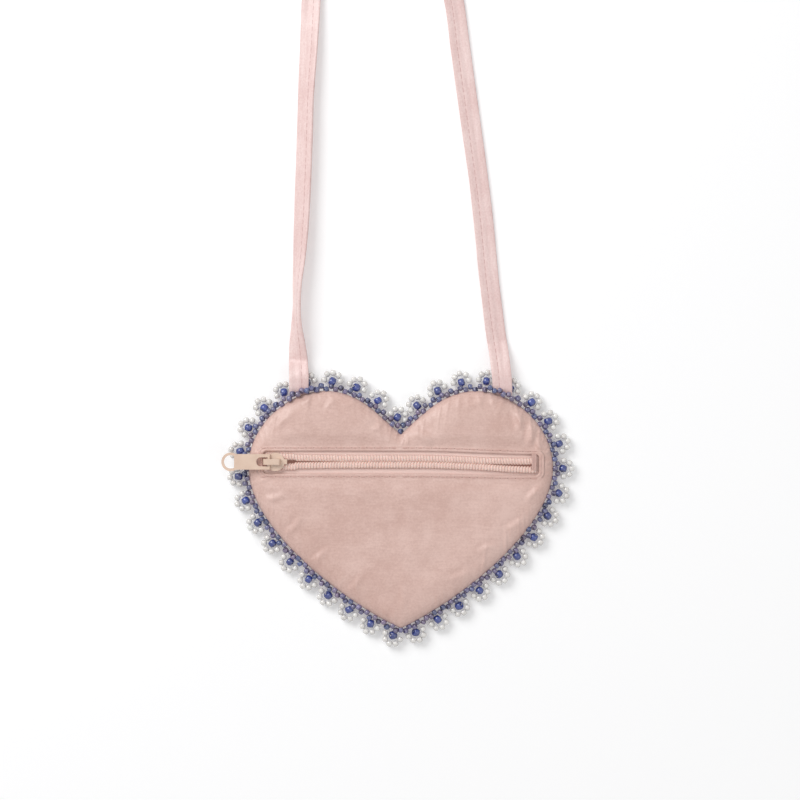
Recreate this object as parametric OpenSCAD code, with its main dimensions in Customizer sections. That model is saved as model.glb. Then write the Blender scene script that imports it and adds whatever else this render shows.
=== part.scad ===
// Heart shaped purse of padded satin with a zip pocket, a beaded picot edge and a flat shoulder strap.
// It lies on its front: z = 0 is the face it rests on, +Y points to the strap and +X to the zip's closed end.

/* [Heart] */
// Height of the notch above the origin
notch_y = 29.9; // [28:0.1:32]
// Height of the tip below the origin
tip_y = 44.2; // [42:0.1:47]
// Half of the greatest width, to the edge that shows
half_w = 57.7; // [56:0.1:60]
// Height of the widest place
side_y = 16.8; // [15:0.1:19]
// How far a lobe's top lies to the side
lobe_x = 28.6; // [27:0.1:31]
// Height of a lobe's top
lobe_y = 45.9; // [44:0.1:48]
// How far the seam lies inside the edge that shows
seam_inset = 0.4; // [0.3:0.05:0.6]
// Height of the seam above the table
seam_z = 3.7; // [3.6:0.1:4.2]
// Width over which the padded rim rolls down to the seam
rim_w = 5; // [4.4:0.1:5.2]

/* [Cloth layers] */
// Thickness of the satin
satin_t = 0.3; // [0.25:0.05:0.35]
// Thickness of the wadding
wadding_t = 0.5; // [0.4:0.05:0.6]
// Thickness of the lining
lining_t = 0.2; // [0.15:0.05:0.3]

/* [Zip] */
// Height of the zip's middle line above the origin
zip_y = 18.9; // [17.5:0.1:19]
// From the heart's widest place to the window's left end
window_gap_left = 6.2; // [6:0.1:7.2]
// From the heart's widest place to the window's right end
window_gap_right = 6; // [5.8:0.1:7.2]
// Half of the window's height
window_half = 3.9; // [3.8:0.05:4.1]
// Radius of the window's corners
window_r = 1.7; // [1.2:0.1:2.2]
// Thickness of the tape
tape_t = 0.35; // [0.3:0.05:0.4]
// Tape's outer edge, from the zip's middle line
tape_reach = 5.4; // [5.3:0.05:5.6]
// Tape's inner edge, from the zip's middle line
tape_inner = 1; // [0.9:0.05:1.1]
// Outer edge of a coil, from the zip's middle line
coil_reach = 2.45; // [2.3:0.05:2.6]
// Height of a coil
coil_h = 1.4; // [1.3:0.05:1.5]
// Distance from one loop of a coil to the next
coil_pitch = 1.1; // [1.1:0.05:1.6]
// Width of one loop
loop_w = 0.44; // [0.36:0.02:0.46]
// Radius of the cord inside a coil
coil_cord_r = 0.3; // [0.25:0.01:0.34]

/* [Slider] */
// Radius of the slider's plates
slider_r = 3.45; // [3.4:0.05:3.5]
// From the window's left end to the slider's middle
slider_in = 4.6; // [4.5:0.1:5.5]
// Thickness of each plate
plate_t = 0.6; // [0.5:0.05:0.7]
// Length of the crown that carries the pull
crown_l = 6.4; // [6:0.1:7]
// Width of the crown
crown_w = 2.2; // [2:0.1:2.4]
// Thickness of the crown's bar
crown_t = 0.7; // [0.6:0.05:0.8]
// Length of the pull from its hinge to its far end
pull_l = 17.8; // [17:0.1:20]
// Width of the pull's plate
pull_w = 5.8; // [5.5:0.1:6]
// Thickness of the pull
pull_t = 1; // [0.9:0.05:1.1]
// Outer radius of the pull's round end
pull_end_r = 3.5; // [3.2:0.05:3.6]

/* [Beads] */
// Diameter of an edge bead
edge_bead_d = 2.1; // [2:0.05:2.2]
// Length of an edge bead
edge_bead_l = 1.45; // [1.3:0.05:1.6]
// Number of edge beads, an even one so that one sits in the notch and one on the tip
edge_count = 184; // [166:2:190]
// Diameter of a picot's middle bead
blue_bead_d = 3; // [2.8:0.1:3.1]
// Length of a picot's middle bead
blue_bead_l = 2.2; // [2:0.1:2.4]
// Number of picots
picot_count = 37; // [33:1:37]
// Diameter of a clear bead
clear_bead_d = 2.3; // [2.1:0.05:2.4]
// Length of a clear bead
clear_bead_l = 1.65; // [1.5:0.05:1.7]
// Radius of the arc that a picot's clear beads lie on
picot_r = 2.95; // [2.9:0.05:3.05]
// Clear beads in each picot
clear_count = 5; // [3:1:5]
// Radius of the beading thread
thread_r = 0.12; // [0.1:0.01:0.14]

/* [Strap] */
// Width of the strap, laid flat
strap_w = 7.4; // [7:0.1:8]
// Thickness of the strap, a flat tube of satin
strap_t = 1.2; // [1:0.1:1.4]

/* [Hidden] */
$fn = 48;
overrun = 1;
satin_colour = "rosybrown";
inner_colour = "linen";
metal_colour = "tan";
strap_colour = "pink";

// Outline of the heart: three curves down each side, mirrored
notch_angle = 40;
notch_handle = 10.2;
lobe_handle_in = 13.3;
lobe_handle_out = 13.9;
side_handle_up = 15.8;
side_handle_down = 24;
tip_angle = 24.3;
tip_handle = 22;
notch = [0, notch_y];
lobe = [lobe_x, lobe_y];
side = [half_w, side_y];
tip = [0, -tip_y];
curves = [
    [notch, notch + notch_handle * [cos(notch_angle), sin(notch_angle)], lobe - [lobe_handle_in, 0], lobe],
    [lobe, lobe + [lobe_handle_out, 0], side + [0, side_handle_up], side],
    [side, side - [0, side_handle_down], tip + tip_handle * [cos(tip_angle), sin(tip_angle)], tip]];
curve_steps = 24;
tip_steps = 4;
ring_count = 60;

function bezier(p, t) = let (s = 1 - t)
    s * s * s * p[0] + 3 * s * s * t * p[1] + 3 * s * t * t * p[2] + t * t * t * p[3];
function bezier_slope(p, t) = let (s = 1 - t)
    s * s * (p[1] - p[0]) + 2 * s * t * (p[2] - p[1]) + t * t * (p[3] - p[2]);
function unit(v) = v / norm(v);
function outward(v) = [-v[1], v[0]];
// One side of the outline, moved outwards by away, without what crosses the middle line
function half_line(away) = [for (c = curves, k = [0:curve_steps - 1])
    let (t = k / curve_steps, p = bezier(c, t) + away * outward(unit(bezier_slope(c, t))))
    if (p[0] > seam_inset) p];
function tip_arc(away) = [for (k = [0:tip_steps])
    let (a = tip_angle * k / tip_steps) tip + max(away, 0) * [sin(tip_angle - a), -cos(tip_angle - a)]
        + min(away, 0) * [0, -1 / cos(tip_angle)]];
function notch_point(away) = notch + [0, away / cos(notch_angle)];
function half_outline(away) = concat([notch_point(away)], half_line(away),
    away > 0 ? tip_arc(away) : [tip_arc(away)[0]]);
function mirrored(half) = [for (k = [len(half) - 2:-1:1]) [-half[k][0], half[k][1]]];
function outline(away) = let (half = half_outline(away)) concat(half, mirrored(half));
function sums(line, k = 0, total = 0, out = []) = k > len(line) ? out
    : sums(line, k + 1, total + norm(line[(k + 1) % len(line)] - line[k % len(line)]), concat(out, total));
function segment(reach, s, low, high) = high - low < 2 ? low
    : let (mid = floor((low + high) / 2)) reach[mid] > s ? segment(reach, s, low, mid)
    : segment(reach, s, mid, high);
// Place and direction at the distance s along a closed line
function along(line, reach, s) = let (n = len(line), w = s - reach[n] * floor(s / reach[n]),
    k = segment(reach, w, 0, n), a = line[k], b = line[(k + 1) % n])
    [a + (b - a) * (w - reach[k]) / (reach[k + 1] - reach[k]), unit(b - a)];
function even_ring(away, count) = let (line = outline(away), reach = sums(line), n = len(line))
    [for (k = [0:count - 1]) along(line, reach, reach[n] * k / count)[0]];

// The seam, and at each of its points the way inwards
seam_ring = even_ring(-seam_inset, ring_count);
inward = [for (k = [0:ring_count - 1]) let (next = seam_ring[(k + 1) % ring_count],
    last = seam_ring[(k + ring_count - 1) % ring_count]) -outward(unit(next - last))];
rim_steps = 4;
top_z = 2 * seam_z;
window_left = window_gap_left - half_w;
window_right = half_w - window_gap_right;
slider_x = window_left + slider_in;

// A ring on the rolled rim: depth is how far it lies under the satin's outer face
function rim_ring(depth, a, up) = [for (k = [0:ring_count - 1])
    let (p = seam_ring[k] + inward[k] * (rim_w - (rim_w - depth) * cos(a)))
    [p[0], p[1], seam_z + up * (seam_z - depth) * sin(a)]];
function clamped(v, low, high) = min(max(v, low), high);
// The window's edge: the nearest place on a round cornered rectangle to each point of the seam
function window_ring(z, grow) = [for (k = [0:ring_count - 1])
    let (p = seam_ring[k] + inward[k] * rim_w,
        r = window_r,
        q = [clamped(p[0], window_left - grow + r, window_right + grow - r),
            clamped(p[1], zip_y - window_half - grow + r, zip_y + window_half + grow - r)],
        e = q + r * unit(p - q)) [e[0], e[1], z]];
function band(a, b, n) = [for (k = [0:n - 1]) let (m = (k + 1) % n)
    each [[a * n + k, a * n + m, b * n + m], [a * n + k, b * n + m, b * n + k]]];
function flipped(faces, up) = up > 0 ? faces : [for (f = faces) [f[2], f[1], f[0]]];
function fan(first, n, turn) = [for (k = [1:n - 2]) turn ? [first, first + k, first + k + 1]
    : [first, first + k + 1, first + k]];

// A layer with no window, from one depth under the outer face to another
module plain_layer(outer, inner, up) {
    rings = [for (k = [0:rim_steps]) rim_ring(outer, 90 - 90 * k / rim_steps, up),
        for (k = [0:rim_steps]) rim_ring(inner, 90 * k / rim_steps, up)];
    last = len(rings) - 1;
    faces = [for (k = [0:last - 1]) each band(k, k + 1, ring_count),
        each fan(0, ring_count, false), each fan(last * ring_count, ring_count, true)];
    polyhedron(points = [for (r = rings) each r], faces = flipped(faces, up));
}

// A layer with the zip's window, which is larger than the satin's by grow
module window_layer(outer, inner, grow) {
    rings = [for (k = [0:rim_steps]) rim_ring(outer, 90 * k / rim_steps, 1),
        window_ring(top_z - outer, grow), window_ring(top_z - inner, grow),
        for (k = [0:rim_steps]) rim_ring(inner, 90 - 90 * k / rim_steps, 1)];
    count = len(rings);
    faces = [for (k = [0:count - 1]) each band(k, (k + 1) % count, ring_count)];
    polyhedron(points = [for (r = rings) each r], faces = faces);
}

// Depths of the layers under the outer face
layer_gap = 0.1;
wadding_depth = satin_t + wadding_t;
tape_top = top_z - wadding_depth - layer_gap;
lining_depth = wadding_depth + tape_t + 2 * layer_gap;
wadding_grow = 0.3;
lining_grow = -0.1;

module front_panel() {
    color(satin_colour) plain_layer(0, satin_t, -1);
}

module front_wadding() {
    color(inner_colour) plain_layer(satin_t, wadding_depth, -1);
}

module front_lining() {
    color(inner_colour) plain_layer(wadding_depth, wadding_depth + lining_t, -1);
}

module back_lining() {
    color(inner_colour) window_layer(lining_depth, lining_depth + lining_t, lining_grow);
}

// The wadding is thinned under the notch, where the upper tape's edge slides when the lip opens
lip_travel = 2.6;
tape_room_w = 8;
tape_room_gap = 0.15;

module back_wadding() {
    color(inner_colour) difference() {
        window_layer(satin_t, wadding_depth, wadding_grow);
        translate([-tape_room_w / 2, zip_y, tape_top - tape_t - tape_room_gap])
            cube([tape_room_w, tape_reach + lip_travel + tape_room_gap, tape_t + layer_gap + tape_room_gap]);
    }
}

module back_panel() {
    color(satin_colour) window_layer(0, satin_t, 0);
}

// Stitching round the window: rows of short stitches on the satin
stitch_l = 1.6;
stitch_gap = 1;
stitch_w = 0.35;
stitch_t = 0.15;
stitch_row = 5.3;
stitch_left = window_left - stitch_w;
stitch_right = window_right + stitch_w;
stitch_step = stitch_l + stitch_gap;

module stitch(x, y, l, w) {
    translate([x - l / 2, y - w / 2, top_z]) cube([l, w, stitch_t]);
}

module zip_stitching() {
    row_count = floor((stitch_right - stitch_left) / stitch_step);
    end_count = floor(2 * stitch_row / stitch_step);
    row_pitch = (stitch_right - stitch_left) / row_count;
    end_pitch = 2 * stitch_row / end_count;
    color("mistyrose") {
        for (way = [-1, 1], k = [0:row_count - 1])
            stitch(stitch_left + (k + 1 / 2) * row_pitch, zip_y + way * stitch_row, stitch_l, stitch_w);
        for (x = [stitch_left, stitch_right], k = [0:end_count - 1])
            stitch(x, zip_y - stitch_row + (k + 1 / 2) * end_pitch, stitch_w, stitch_l);
    }
}

// Tapes and coils
tape_left = window_left + 1;
tape_right = window_right - 1;
coil_clear = 0.12;
coil_top = tape_top + coil_h;
spine_w = 0.5;
head_past = 0.25;
head_round = 0.15;
coil_left = tape_left;
coil_right = tape_right;
coil_cord_y = 1.5;
parting_l = 6.6;
parting_w = 1.8;
parting_ahead = 1.2;
parting_x = slider_x + parting_ahead;

// A tape's outer corners are cut off, clear of the rolled rim when the lip opens
tape_cut = 1.8;

module tape(way) {
    color("mistyrose") translate([0, zip_y, tape_top - tape_t]) linear_extrude(tape_t)
        polygon([for (p = [[tape_left, tape_inner], [tape_right, tape_inner],
            [tape_right, tape_reach - tape_cut], [tape_right - tape_cut, tape_reach],
            [tape_left + tape_cut, tape_reach], [tape_left, tape_reach - tape_cut]]) [p[0], way * p[1]]]);
}

module zip_tape_upper() {
    tape(1);
}

module zip_tape_lower() {
    tape(-1);
}

// Outline of a coil's row: a spine with loops that reach past the middle line
function coil_points(way) = let (
    shift = way > 0 ? coil_pitch / 2 : coil_pitch,
    count = floor((coil_right - coil_left - shift - loop_w) / coil_pitch),
    root = coil_reach - spine_w)
    concat([[coil_left, coil_reach], [coil_left, root]],
        [for (k = [0:count]) let (x = coil_left + shift + k * coil_pitch, h = loop_w / 2)
            each [[x - h, root], [x - h, head_round - head_past], [x - h + head_round, -head_past],
                [x + h - head_round, -head_past], [x + h, head_round - head_past], [x + h, root]]],
        [[coil_right, root], [coil_right, coil_reach]]);

module coil_row(way) {
    color("mistyrose") difference() {
        translate([0, zip_y, tape_top]) linear_extrude(coil_h)
            polygon([for (p = coil_points(way)) [p[0], way * p[1]]]);
        translate([coil_left - overrun, zip_y + way * coil_cord_y, tape_top + coil_h / 2])
            rotate([0, 90, 0]) cylinder(r = coil_cord_r, h = coil_right - coil_left + 2 * overrun);
        translate([parting_x, zip_y - parting_w / 2, tape_top - overrun])
            cube([parting_l, parting_w, coil_h + 2 * overrun]);
    }
}

module zip_coil_upper() {
    coil_row(1);
}

module zip_coil_lower() {
    coil_row(-1);
}

module coil_cord(way) {
    cord_clear = 0.03;
    color("linen") translate([coil_left, zip_y + way * coil_cord_y, tape_top + coil_h / 2])
        rotate([0, 90, 0]) cylinder(r = coil_cord_r - cord_clear, h = coil_right - coil_left);
}

module coil_cord_upper() {
    coil_cord(1);
}

module coil_cord_lower() {
    coil_cord(-1);
}

// Tack that holds the closed end of the coils, a few thick stitches across them
tack_h = 0.4;
tack_w = 0.5;
tack_count = 3;
tack_reach = 3;

module end_bar_tack() {
    color("mistyrose") for (k = [0:tack_count - 1])
        translate([coil_right - tack_w - k * (tack_w + layer_gap), zip_y - tack_reach,
            coil_top + layer_gap / 2]) cube([tack_w, 2 * tack_reach, tack_h]);
}

// Slider: two plates joined by a post, with flanges that hold the coils in
plate_top = coil_top + coil_clear + plate_t;
floor_top = tape_top - tape_t - coil_clear;
flange_w = 0.7;
nose_l = 4.4;
nose_w = 1.8;
post_l = 1.3;
post_w = 1.1;
post_ahead = 1.7;
post_x = slider_x + post_ahead;
pawl_w = 0.7;
pawl_slot_l = 1;
crown_back = 4.5;
crown_left = slider_x - crown_back;
crown_head = 1.2;
crown_r = 0.7;
hinge_in = 2.2;
hinge_x = crown_left + hinge_in;
hinge_clear = 0.08;
hinge_z = plate_top + hinge_clear + pull_t / 2;
crown_under = hinge_z + pull_t / 2 + 2 * hinge_clear;
crown_leg = 1;
pawl_t = 0.2;
pawl_x = crown_left + crown_l - crown_leg - pawl_slot_l - layer_gap;

module slider_body() {
    color(metal_colour) {
        translate([slider_x, zip_y, floor_top - plate_t]) cylinder(r = slider_r, h = plate_t);
        translate([post_x, zip_y - post_w / 2, floor_top - plate_t / 2])
            cube([post_l, post_w, plate_top - floor_top]);
        difference() {
            translate([0, zip_y, plate_top - plate_t]) linear_extrude(plate_t) union() {
                translate([slider_x, 0]) circle(r = slider_r);
                translate([slider_x, -nose_w / 2]) square([nose_l, nose_w]);
                translate([crown_left, -crown_w / 2]) square([slider_x - crown_left, crown_w]);
            }
            translate([pawl_x, zip_y - pawl_w / 2 - layer_gap, plate_top - plate_t - overrun])
                cube([pawl_slot_l, pawl_w + 2 * layer_gap, plate_t + 2 * overrun]);
        }
        translate([0, zip_y, tape_top + coil_clear])
            linear_extrude(plate_top - plate_t / 2 - tape_top - coil_clear) difference() {
                translate([slider_x, 0]) circle(r = slider_r);
                translate([slider_x - slider_r - overrun, flange_w - slider_r])
                    square([2 * (slider_r + overrun), 2 * (slider_r - flange_w)]);
            }
    }
}

module round_box(l, h, r) {
    translate([r, 0]) square([l - 2 * r, h]);
    translate([0, r]) square([l, h - 2 * r]);
    for (x = [r, l - r], y = [r, h - r]) translate([x, y]) circle(r = r);
}

module slider_crown() {
    inner_r = crown_r / 2;
    color(metal_colour) translate([0, zip_y + crown_w / 2, 0]) rotate([90, 0, 0])
        linear_extrude(crown_w) difference() {
            translate([crown_left, plate_top - crown_head])
                round_box(crown_l, crown_under + crown_t - plate_top + crown_head, crown_r);
            translate([crown_left - overrun, plate_top - crown_head - overrun])
                square([crown_l + 2 * overrun, crown_head + overrun]);
            translate([crown_left + crown_leg, plate_top - crown_head])
                round_box(crown_l - 2 * crown_leg, crown_under - plate_top + crown_head, inner_r);
        }
}

// Spring pawl that locks the coils: a strip under the crown with a tooth through the top plate
module lock_pawl() {
    strip_l = pawl_x - hinge_x - pull_t / 2 - layer_gap + pawl_slot_l;
    color("silver") {
        translate([pawl_x + pawl_slot_l - layer_gap - strip_l, zip_y - pawl_w / 2, crown_under - pawl_t])
            cube([strip_l, pawl_w, pawl_t]);
        translate([pawl_x + layer_gap, zip_y - pawl_w / 2, plate_top - plate_t])
            cube([pawl_slot_l - 2 * layer_gap, pawl_w, crown_under - plate_top + plate_t]);
    }
}

// Pull: a plate with an eye round the crown and a D shaped hole at its far end
eye_l = 4.75;
eye_w = 3.4;
pull_hole_l = 3.75;
pull_hole_w = 5;
pull_wall = 1;

module slider_pull() {
    end_x = -pull_l + pull_end_r;
    color(metal_colour) translate([hinge_x, zip_y, hinge_z]) {
        rotate([90, 0, 0]) translate([0, 0, -pull_w / 2]) cylinder(r = pull_t / 2, h = pull_w);
        translate([0, 0, -pull_t / 2]) linear_extrude(pull_t) difference() {
            union() {
                translate([end_x, -pull_w / 2]) square([-end_x, pull_w]);
                translate([end_x, 0]) circle(r = pull_end_r);
            }
            translate([-eye_l + eye_w / 2, 0]) circle(r = eye_w / 2);
            translate([-eye_l + eye_w / 2, -eye_w / 2]) square([eye_l - eye_w / 2 - pull_t / 2, eye_w]);
            intersection() {
                translate([pull_wall - pull_l + pull_hole_w / 2, 0]) circle(r = pull_hole_w / 2);
                translate([pull_wall - pull_l, -pull_hole_w / 2]) square([pull_hole_l, pull_hole_w]);
            }
        }
    }
}

// Beads: a short tube of glass with round edges
bore_share = 0.18;
bead_round_share = 0.15;

module bead(d, l) {
    bore_r = bore_share * d;
    r = bead_round_share * d;
    rotate_extrude() {
        translate([bore_r, -l / 2]) square([d / 2 - bore_r - r, l]);
        translate([bore_r, r - l / 2]) square([d / 2 - bore_r, l - 2 * r]);
        for (way = [-1, 1]) translate([d / 2 - r, way * (l / 2 - r)]) circle(r = r);
    }
}

edge_away = 0.75;
edge_line = outline(edge_away);
edge_reach = sums(edge_line);
edge_length = edge_reach[len(edge_line)];
edge_step = edge_length / edge_count;
strap_x = 38.2;
strap_bump_w = 10;
bump_clear = 0.2;
strap_rise = 0.4;
strap_lift = strap_rise + strap_t / 2 + edge_bead_d / 2 + bump_clear;
bump_flat = strap_w / 2 + edge_bead_l / 2 + bump_clear;
// The row climbs over the strap where the strap comes out of the seam
function edge_lift(p) = p[1] < side_y ? 0
    : strap_lift * (1 - clamped((abs(abs(p[0]) - strap_x) - bump_flat) / (strap_bump_w - bump_flat), 0, 1));

// Direction of a closed line at the distance s, taken over a short span to each side
function facing(line, reach, s, span) =
    let (way = along(line, reach, s + span)[0] - along(line, reach, s - span)[0]) atan2(way[1], way[0]);
// An edge bead's middle, its direction in the plane of the table and its rise
function edge_place(k) = let (s = k * edge_step, p = along(edge_line, edge_reach, s)[0],
    rise = edge_lift(along(edge_line, edge_reach, s + edge_step / 2)[0])
        - edge_lift(along(edge_line, edge_reach, s - edge_step / 2)[0]))
    [[p[0], p[1], seam_z + edge_lift(p)], facing(edge_line, edge_reach, s, edge_bead_d / 2),
        atan2(rise, edge_step)];

module edge_beads(from, to) {
    color("slategray") for (k = [from:to]) {
        place = edge_place(k);
        translate(place[0]) rotate([0, 90 - place[2], place[1]]) bead(edge_bead_d, edge_bead_l);
    }
}

module edge_beads_right() {
    edge_beads(0, edge_count / 2 - 1);
}

module edge_beads_left() {
    edge_beads(edge_count / 2, edge_count - 1);
}

// The thread through the edge beads, a closed sweep of a square section: straight in each bead
module edge_thread() {
    n = 2 * edge_count;
    rings = [for (c = [[-1, -1], [1, -1], [1, 1], [-1, 1]]) [for (k = [0:edge_count - 1])
        let (place = edge_place(k), a = place[1], rise = place[2],
            ahead = edge_bead_l / 2 * [cos(a) * cos(rise), sin(a) * cos(rise), sin(rise)],
            across = thread_r * [-c[0] * sin(a), c[0] * cos(a), c[1]])
        each [place[0] - ahead + across, place[0] + ahead + across]]];
    faces = [for (k = [0:3]) each band(k, (k + 1) % 4, n)];
    color("lavender") polyhedron(points = [for (r = rings) each r], faces = faces);
}

// Picots stand out from the edge, a little lower than the seam
picot_away = 3.7;
picot_z = 2.2;
picot_phase = -1.5;
clear_step = 46;
picot_line = outline(picot_away);
picot_reach = sums(picot_line);
picot_length = picot_reach[len(picot_line)];

// Turns what is drawn for one picot to each picot of a side, or of both where side is zero
module at_picots(side) {
    for (k = [0:picot_count - 1]) {
        s = picot_phase + k * picot_length / picot_count;
        p = along(picot_line, picot_reach, s)[0];
        if (side * p[0] >= 0)
            translate([p[0], p[1], picot_z]) rotate([0, 0, facing(picot_line, picot_reach, s, picot_r)])
                children();
    }
}

module blue_bead(side) {
    color("mediumblue") at_picots(side) rotate([0, 90, 0]) bead(blue_bead_d, blue_bead_l);
}

module picot_blue_left() {
    blue_bead(-1);
}

module picot_blue_right() {
    blue_bead(1);
}

module clear_beads(side) {
    color("whitesmoke") at_picots(side) for (k = [0:clear_count - 1])
        rotate([0, 0, (k - (clear_count - 1) / 2) * clear_step]) translate([0, picot_r, 0])
            rotate([0, 90, 0]) bead(clear_bead_d, clear_bead_l);
}

module picot_clear_left() {
    clear_beads(-1);
}

module picot_clear_right() {
    clear_beads(1);
}

// The thread runs round through the clear beads and back through the blue one: a closed sweep
past_last = 40;
half_arc = clear_step * (clear_count - 1) / 2 + past_last;
arc_parts = 9;
thread_loop = concat([for (k = [0:arc_parts]) let (a = half_arc * (2 * k / arc_parts - 1))
    picot_r * [sin(a), cos(a)]], [[blue_bead_l / 2, 0], [-blue_bead_l / 2, 0]]);

module picot_threads() {
    n = len(thread_loop);
    rings = [for (c = [[-1, -1], [1, -1], [1, 1], [-1, 1]]) [for (k = [0:n - 1])
        let (way = unit(thread_loop[(k + 1) % n] - thread_loop[(k + n - 1) % n]),
            p = thread_loop[k] + thread_r * c[0] * outward(way)) [p[0], p[1], thread_r * c[1]]]];
    faces = [for (k = [0:3]) each band(k, (k + 1) % 4, n)];
    color("white") at_picots(0) polyhedron(points = [for (r = rings) each r], faces = faces);
}

// Strap: [x, y, height of its middle where it is held up, turn about its own length]
left_route = [[-38.2, 46.2, 4.45, 0], [-38.2, 48, 4.5, 0], [-38.2, 52, 4.4, 5], [-38.7, 61, 0, 30],
    [-39.1, 70, 0, 60], [-39, 78, 0, 70], [-38.8, 86, 0, 65], [-38, 96, 0, 52], [-37.2, 110, 0, 42],
    [-36.6, 124.5, 0, 38], [-36, 141, 0, 38], [-35.5, 157.5, 0, 36], [-34.5, 175, 0, 26],
    [-33.7, 192, 0, 14], [-33.3, 210, 0, 4], [-33.2, 228, 0, 0]];
right_route = [[38.2, 46.2, 4.45, 0], [38.1, 48, 4.5, 0], [37.8, 52, 4.4, 0], [36.9, 60, 1.8, 0],
    [35.8, 67, 0, 0], [34.4, 78, 0, 0], [33, 90, 0, 0], [31.4, 107, 0, 0], [29.4, 124.5, 0, 0],
    [27.1, 141, 0, 0], [24.8, 157.5, 0, 0], [22.4, 175, 0, 0], [20.1, 192, 0, 0], [17.2, 199.6, 0, 0],
    [10.6, 204.9, 0, 0]];
coil_x = 16.7;
coil_y = 250;
coil_outer = 50;
coil_inner = 30;
coil_step = 16.6;
coil_from = 180;
coil_to = 250;
spiral_parts = 30;
route_parts = 2;

function table_z(roll) = strap_w / 2 * abs(sin(roll)) + strap_t / 2 * abs(cos(roll));
function smooth(a, b, c, d, t) = b + t / 2 * (c - a + t * (2 * a - 5 * b + 4 * c - d
    + t * (3 * (b - c) + d - a)));
// Points of a route, rounded off between the ones chosen, each held up no lower than it can lie
function route_line(r, to) = [for (k = [0:len(r) - 2], j = [0:route_parts - 1])
    let (a = k > 0 ? r[k - 1] : before(r), d = k < len(r) - 2 ? r[k + 2] : to)
    smooth(a, r[k], r[k + 1], d, j / route_parts), r[len(r) - 1]];
function before(r) = 2 * r[0] - r[1];
// A spiral of the doubled strap: two arms half a turn apart that meet in an S at the middle
outer_turn = (coil_outer - coil_inner) / coil_step * 360;
other_turn = outer_turn - 180;
entry_turn = coil_to - coil_from;
function arm(a, r) = [coil_x + r * cos(a), coil_y + r * sin(a), 0, 0];
function turn_steps(turn) = ceil(abs(turn) / 360 * spiral_parts);
function left_arm() = let (n = turn_steps(outer_turn)) [for (k = [0:n])
    arm(coil_from - outer_turn * k / n, coil_outer - (coil_outer - coil_inner) * k / n)];
function right_arm() = let (turn = other_turn + entry_turn, n = turn_steps(turn)) [for (k = [0:n])
    arm(coil_to - turn * k / n, coil_inner + coil_step * turn * (n - k) / n / 360)];
function bend(middle, start, way) = let (n = spiral_parts / 2, m = arm(middle, coil_inner / 2))
    [for (k = [1:n - 1]) let (a = start + way * 180 * k / n)
        [m[0] + coil_inner / 2 * cos(a), m[1] + coil_inner / 2 * sin(a), 0, 0]];
function reversed(list) = [for (k = [len(list) - 1:-1:0]) list[k]];
left_end = coil_from - outer_turn;
coil_route = concat(left_arm(), bend(left_end, left_end, -1), [[coil_x, coil_y, 0, 0]],
    bend(left_end + 180, left_end, 1), reversed(right_arm()));
coil_last = len(coil_route) - 1;

// Where the strap leaves the seam, and how much the seam slopes there
seam_line = half_line(-seam_inset);
seam_after = [for (k = [1:len(seam_line) - 1])
    if (seam_line[k - 1][0] <= strap_x && seam_line[k][0] > strap_x) k][0];
seam_step = seam_line[seam_after] - seam_line[seam_after - 1];
seam_slope = seam_step[1] / seam_step[0];
seam_y = seam_line[seam_after][1] + seam_slope * (strap_x - seam_line[seam_after][0]);
left_line = route_line(concat([[-strap_x, seam_y, seam_z, 0]], left_route, [coil_route[0]]), coil_route[1]);
right_line = route_line(concat([[strap_x, seam_y, seam_z, 0]], right_route, [coil_route[coil_last]]),
    coil_route[coil_last - 1]);

// Least gap of the coil to itself: from each point to each part of it over half a turn away
function part_gap(p, a, b) = let (w = b - a, t = clamped((p - a) * w / (w * w), 0, 1)) norm(p - a - t * w);
coil_line = [for (p = coil_route) [p[0], p[1]]];
coil_gap = min([for (k = [0:coil_last], m = [0:coil_last - 1]) if (abs(k - m) > spiral_parts / 4)
    part_gap(coil_line[k], coil_line[m], coil_line[m + 1])]) - strap_w;
echo(coil_least_gap = coil_gap);

// The section has eight corners; the first rings lean over, so that the strap starts along the seam
edge_share = 0.94;
round_share = 0.35;
lean_rings = 4;
function section(roll) = [for (c = [[1, round_share], [edge_share, 1], [-edge_share, 1], [-1, round_share],
    [-1, -round_share], [-edge_share, -1], [edge_share, -1], [1, -round_share]])
    let (u = c[0] * strap_w / 2, v = c[1] * strap_t / 2)
    [u * cos(roll) - v * sin(roll), u * sin(roll) + v * cos(roll)]];
function strap_rings(line, from, to, skew) = [for (k = [0:len(line) - 1])
    let (here = line[k], last = k > 0 ? line[k - 1] : from, next = k < len(line) - 1 ? line[k + 1] : to,
        step = unit([next[0] - last[0], next[1] - last[1]]), side_way = [step[1], -step[0]],
        lean = skew * max(0, 1 - k / lean_rings), z = max(here[2], table_z(here[3])))
    [for (s = section(here[3])) [here[0] + side_way[0] * s[0] + step[0] * lean * s[0],
        here[1] + side_way[1] * s[0] + step[1] * lean * s[0], z + s[1]]]];

// Like band, with the other diagonals
function strap_band(a, b, n) = [for (k = [0:n - 1]) let (m = (k + 1) % n)
    each [[a * n + k, a * n + m, b * n + k], [a * n + m, b * n + m, b * n + k]]];

module strap_run(line, from, to, skew) {
    rings = strap_rings(line, from, to, skew);
    n = 8;
    last = len(rings) - 1;
    faces = [for (k = [0:last - 1]) each strap_band(k, k + 1, n), each fan(0, n, false),
        each fan(last * n, n, true)];
    color(strap_colour) polyhedron(points = [for (r = rings) each r], faces = faces);
}

module strap_left() {
    strap_run(left_line, before(left_line), coil_route[1], -seam_slope);
}

module strap_right() {
    strap_run(right_line, before(right_line), coil_route[coil_last - 1], seam_slope);
}

module strap_coil() {
    strap_run(coil_route, left_line[len(left_line) - 2], right_line[len(right_line) - 2], 0);
}

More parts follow.
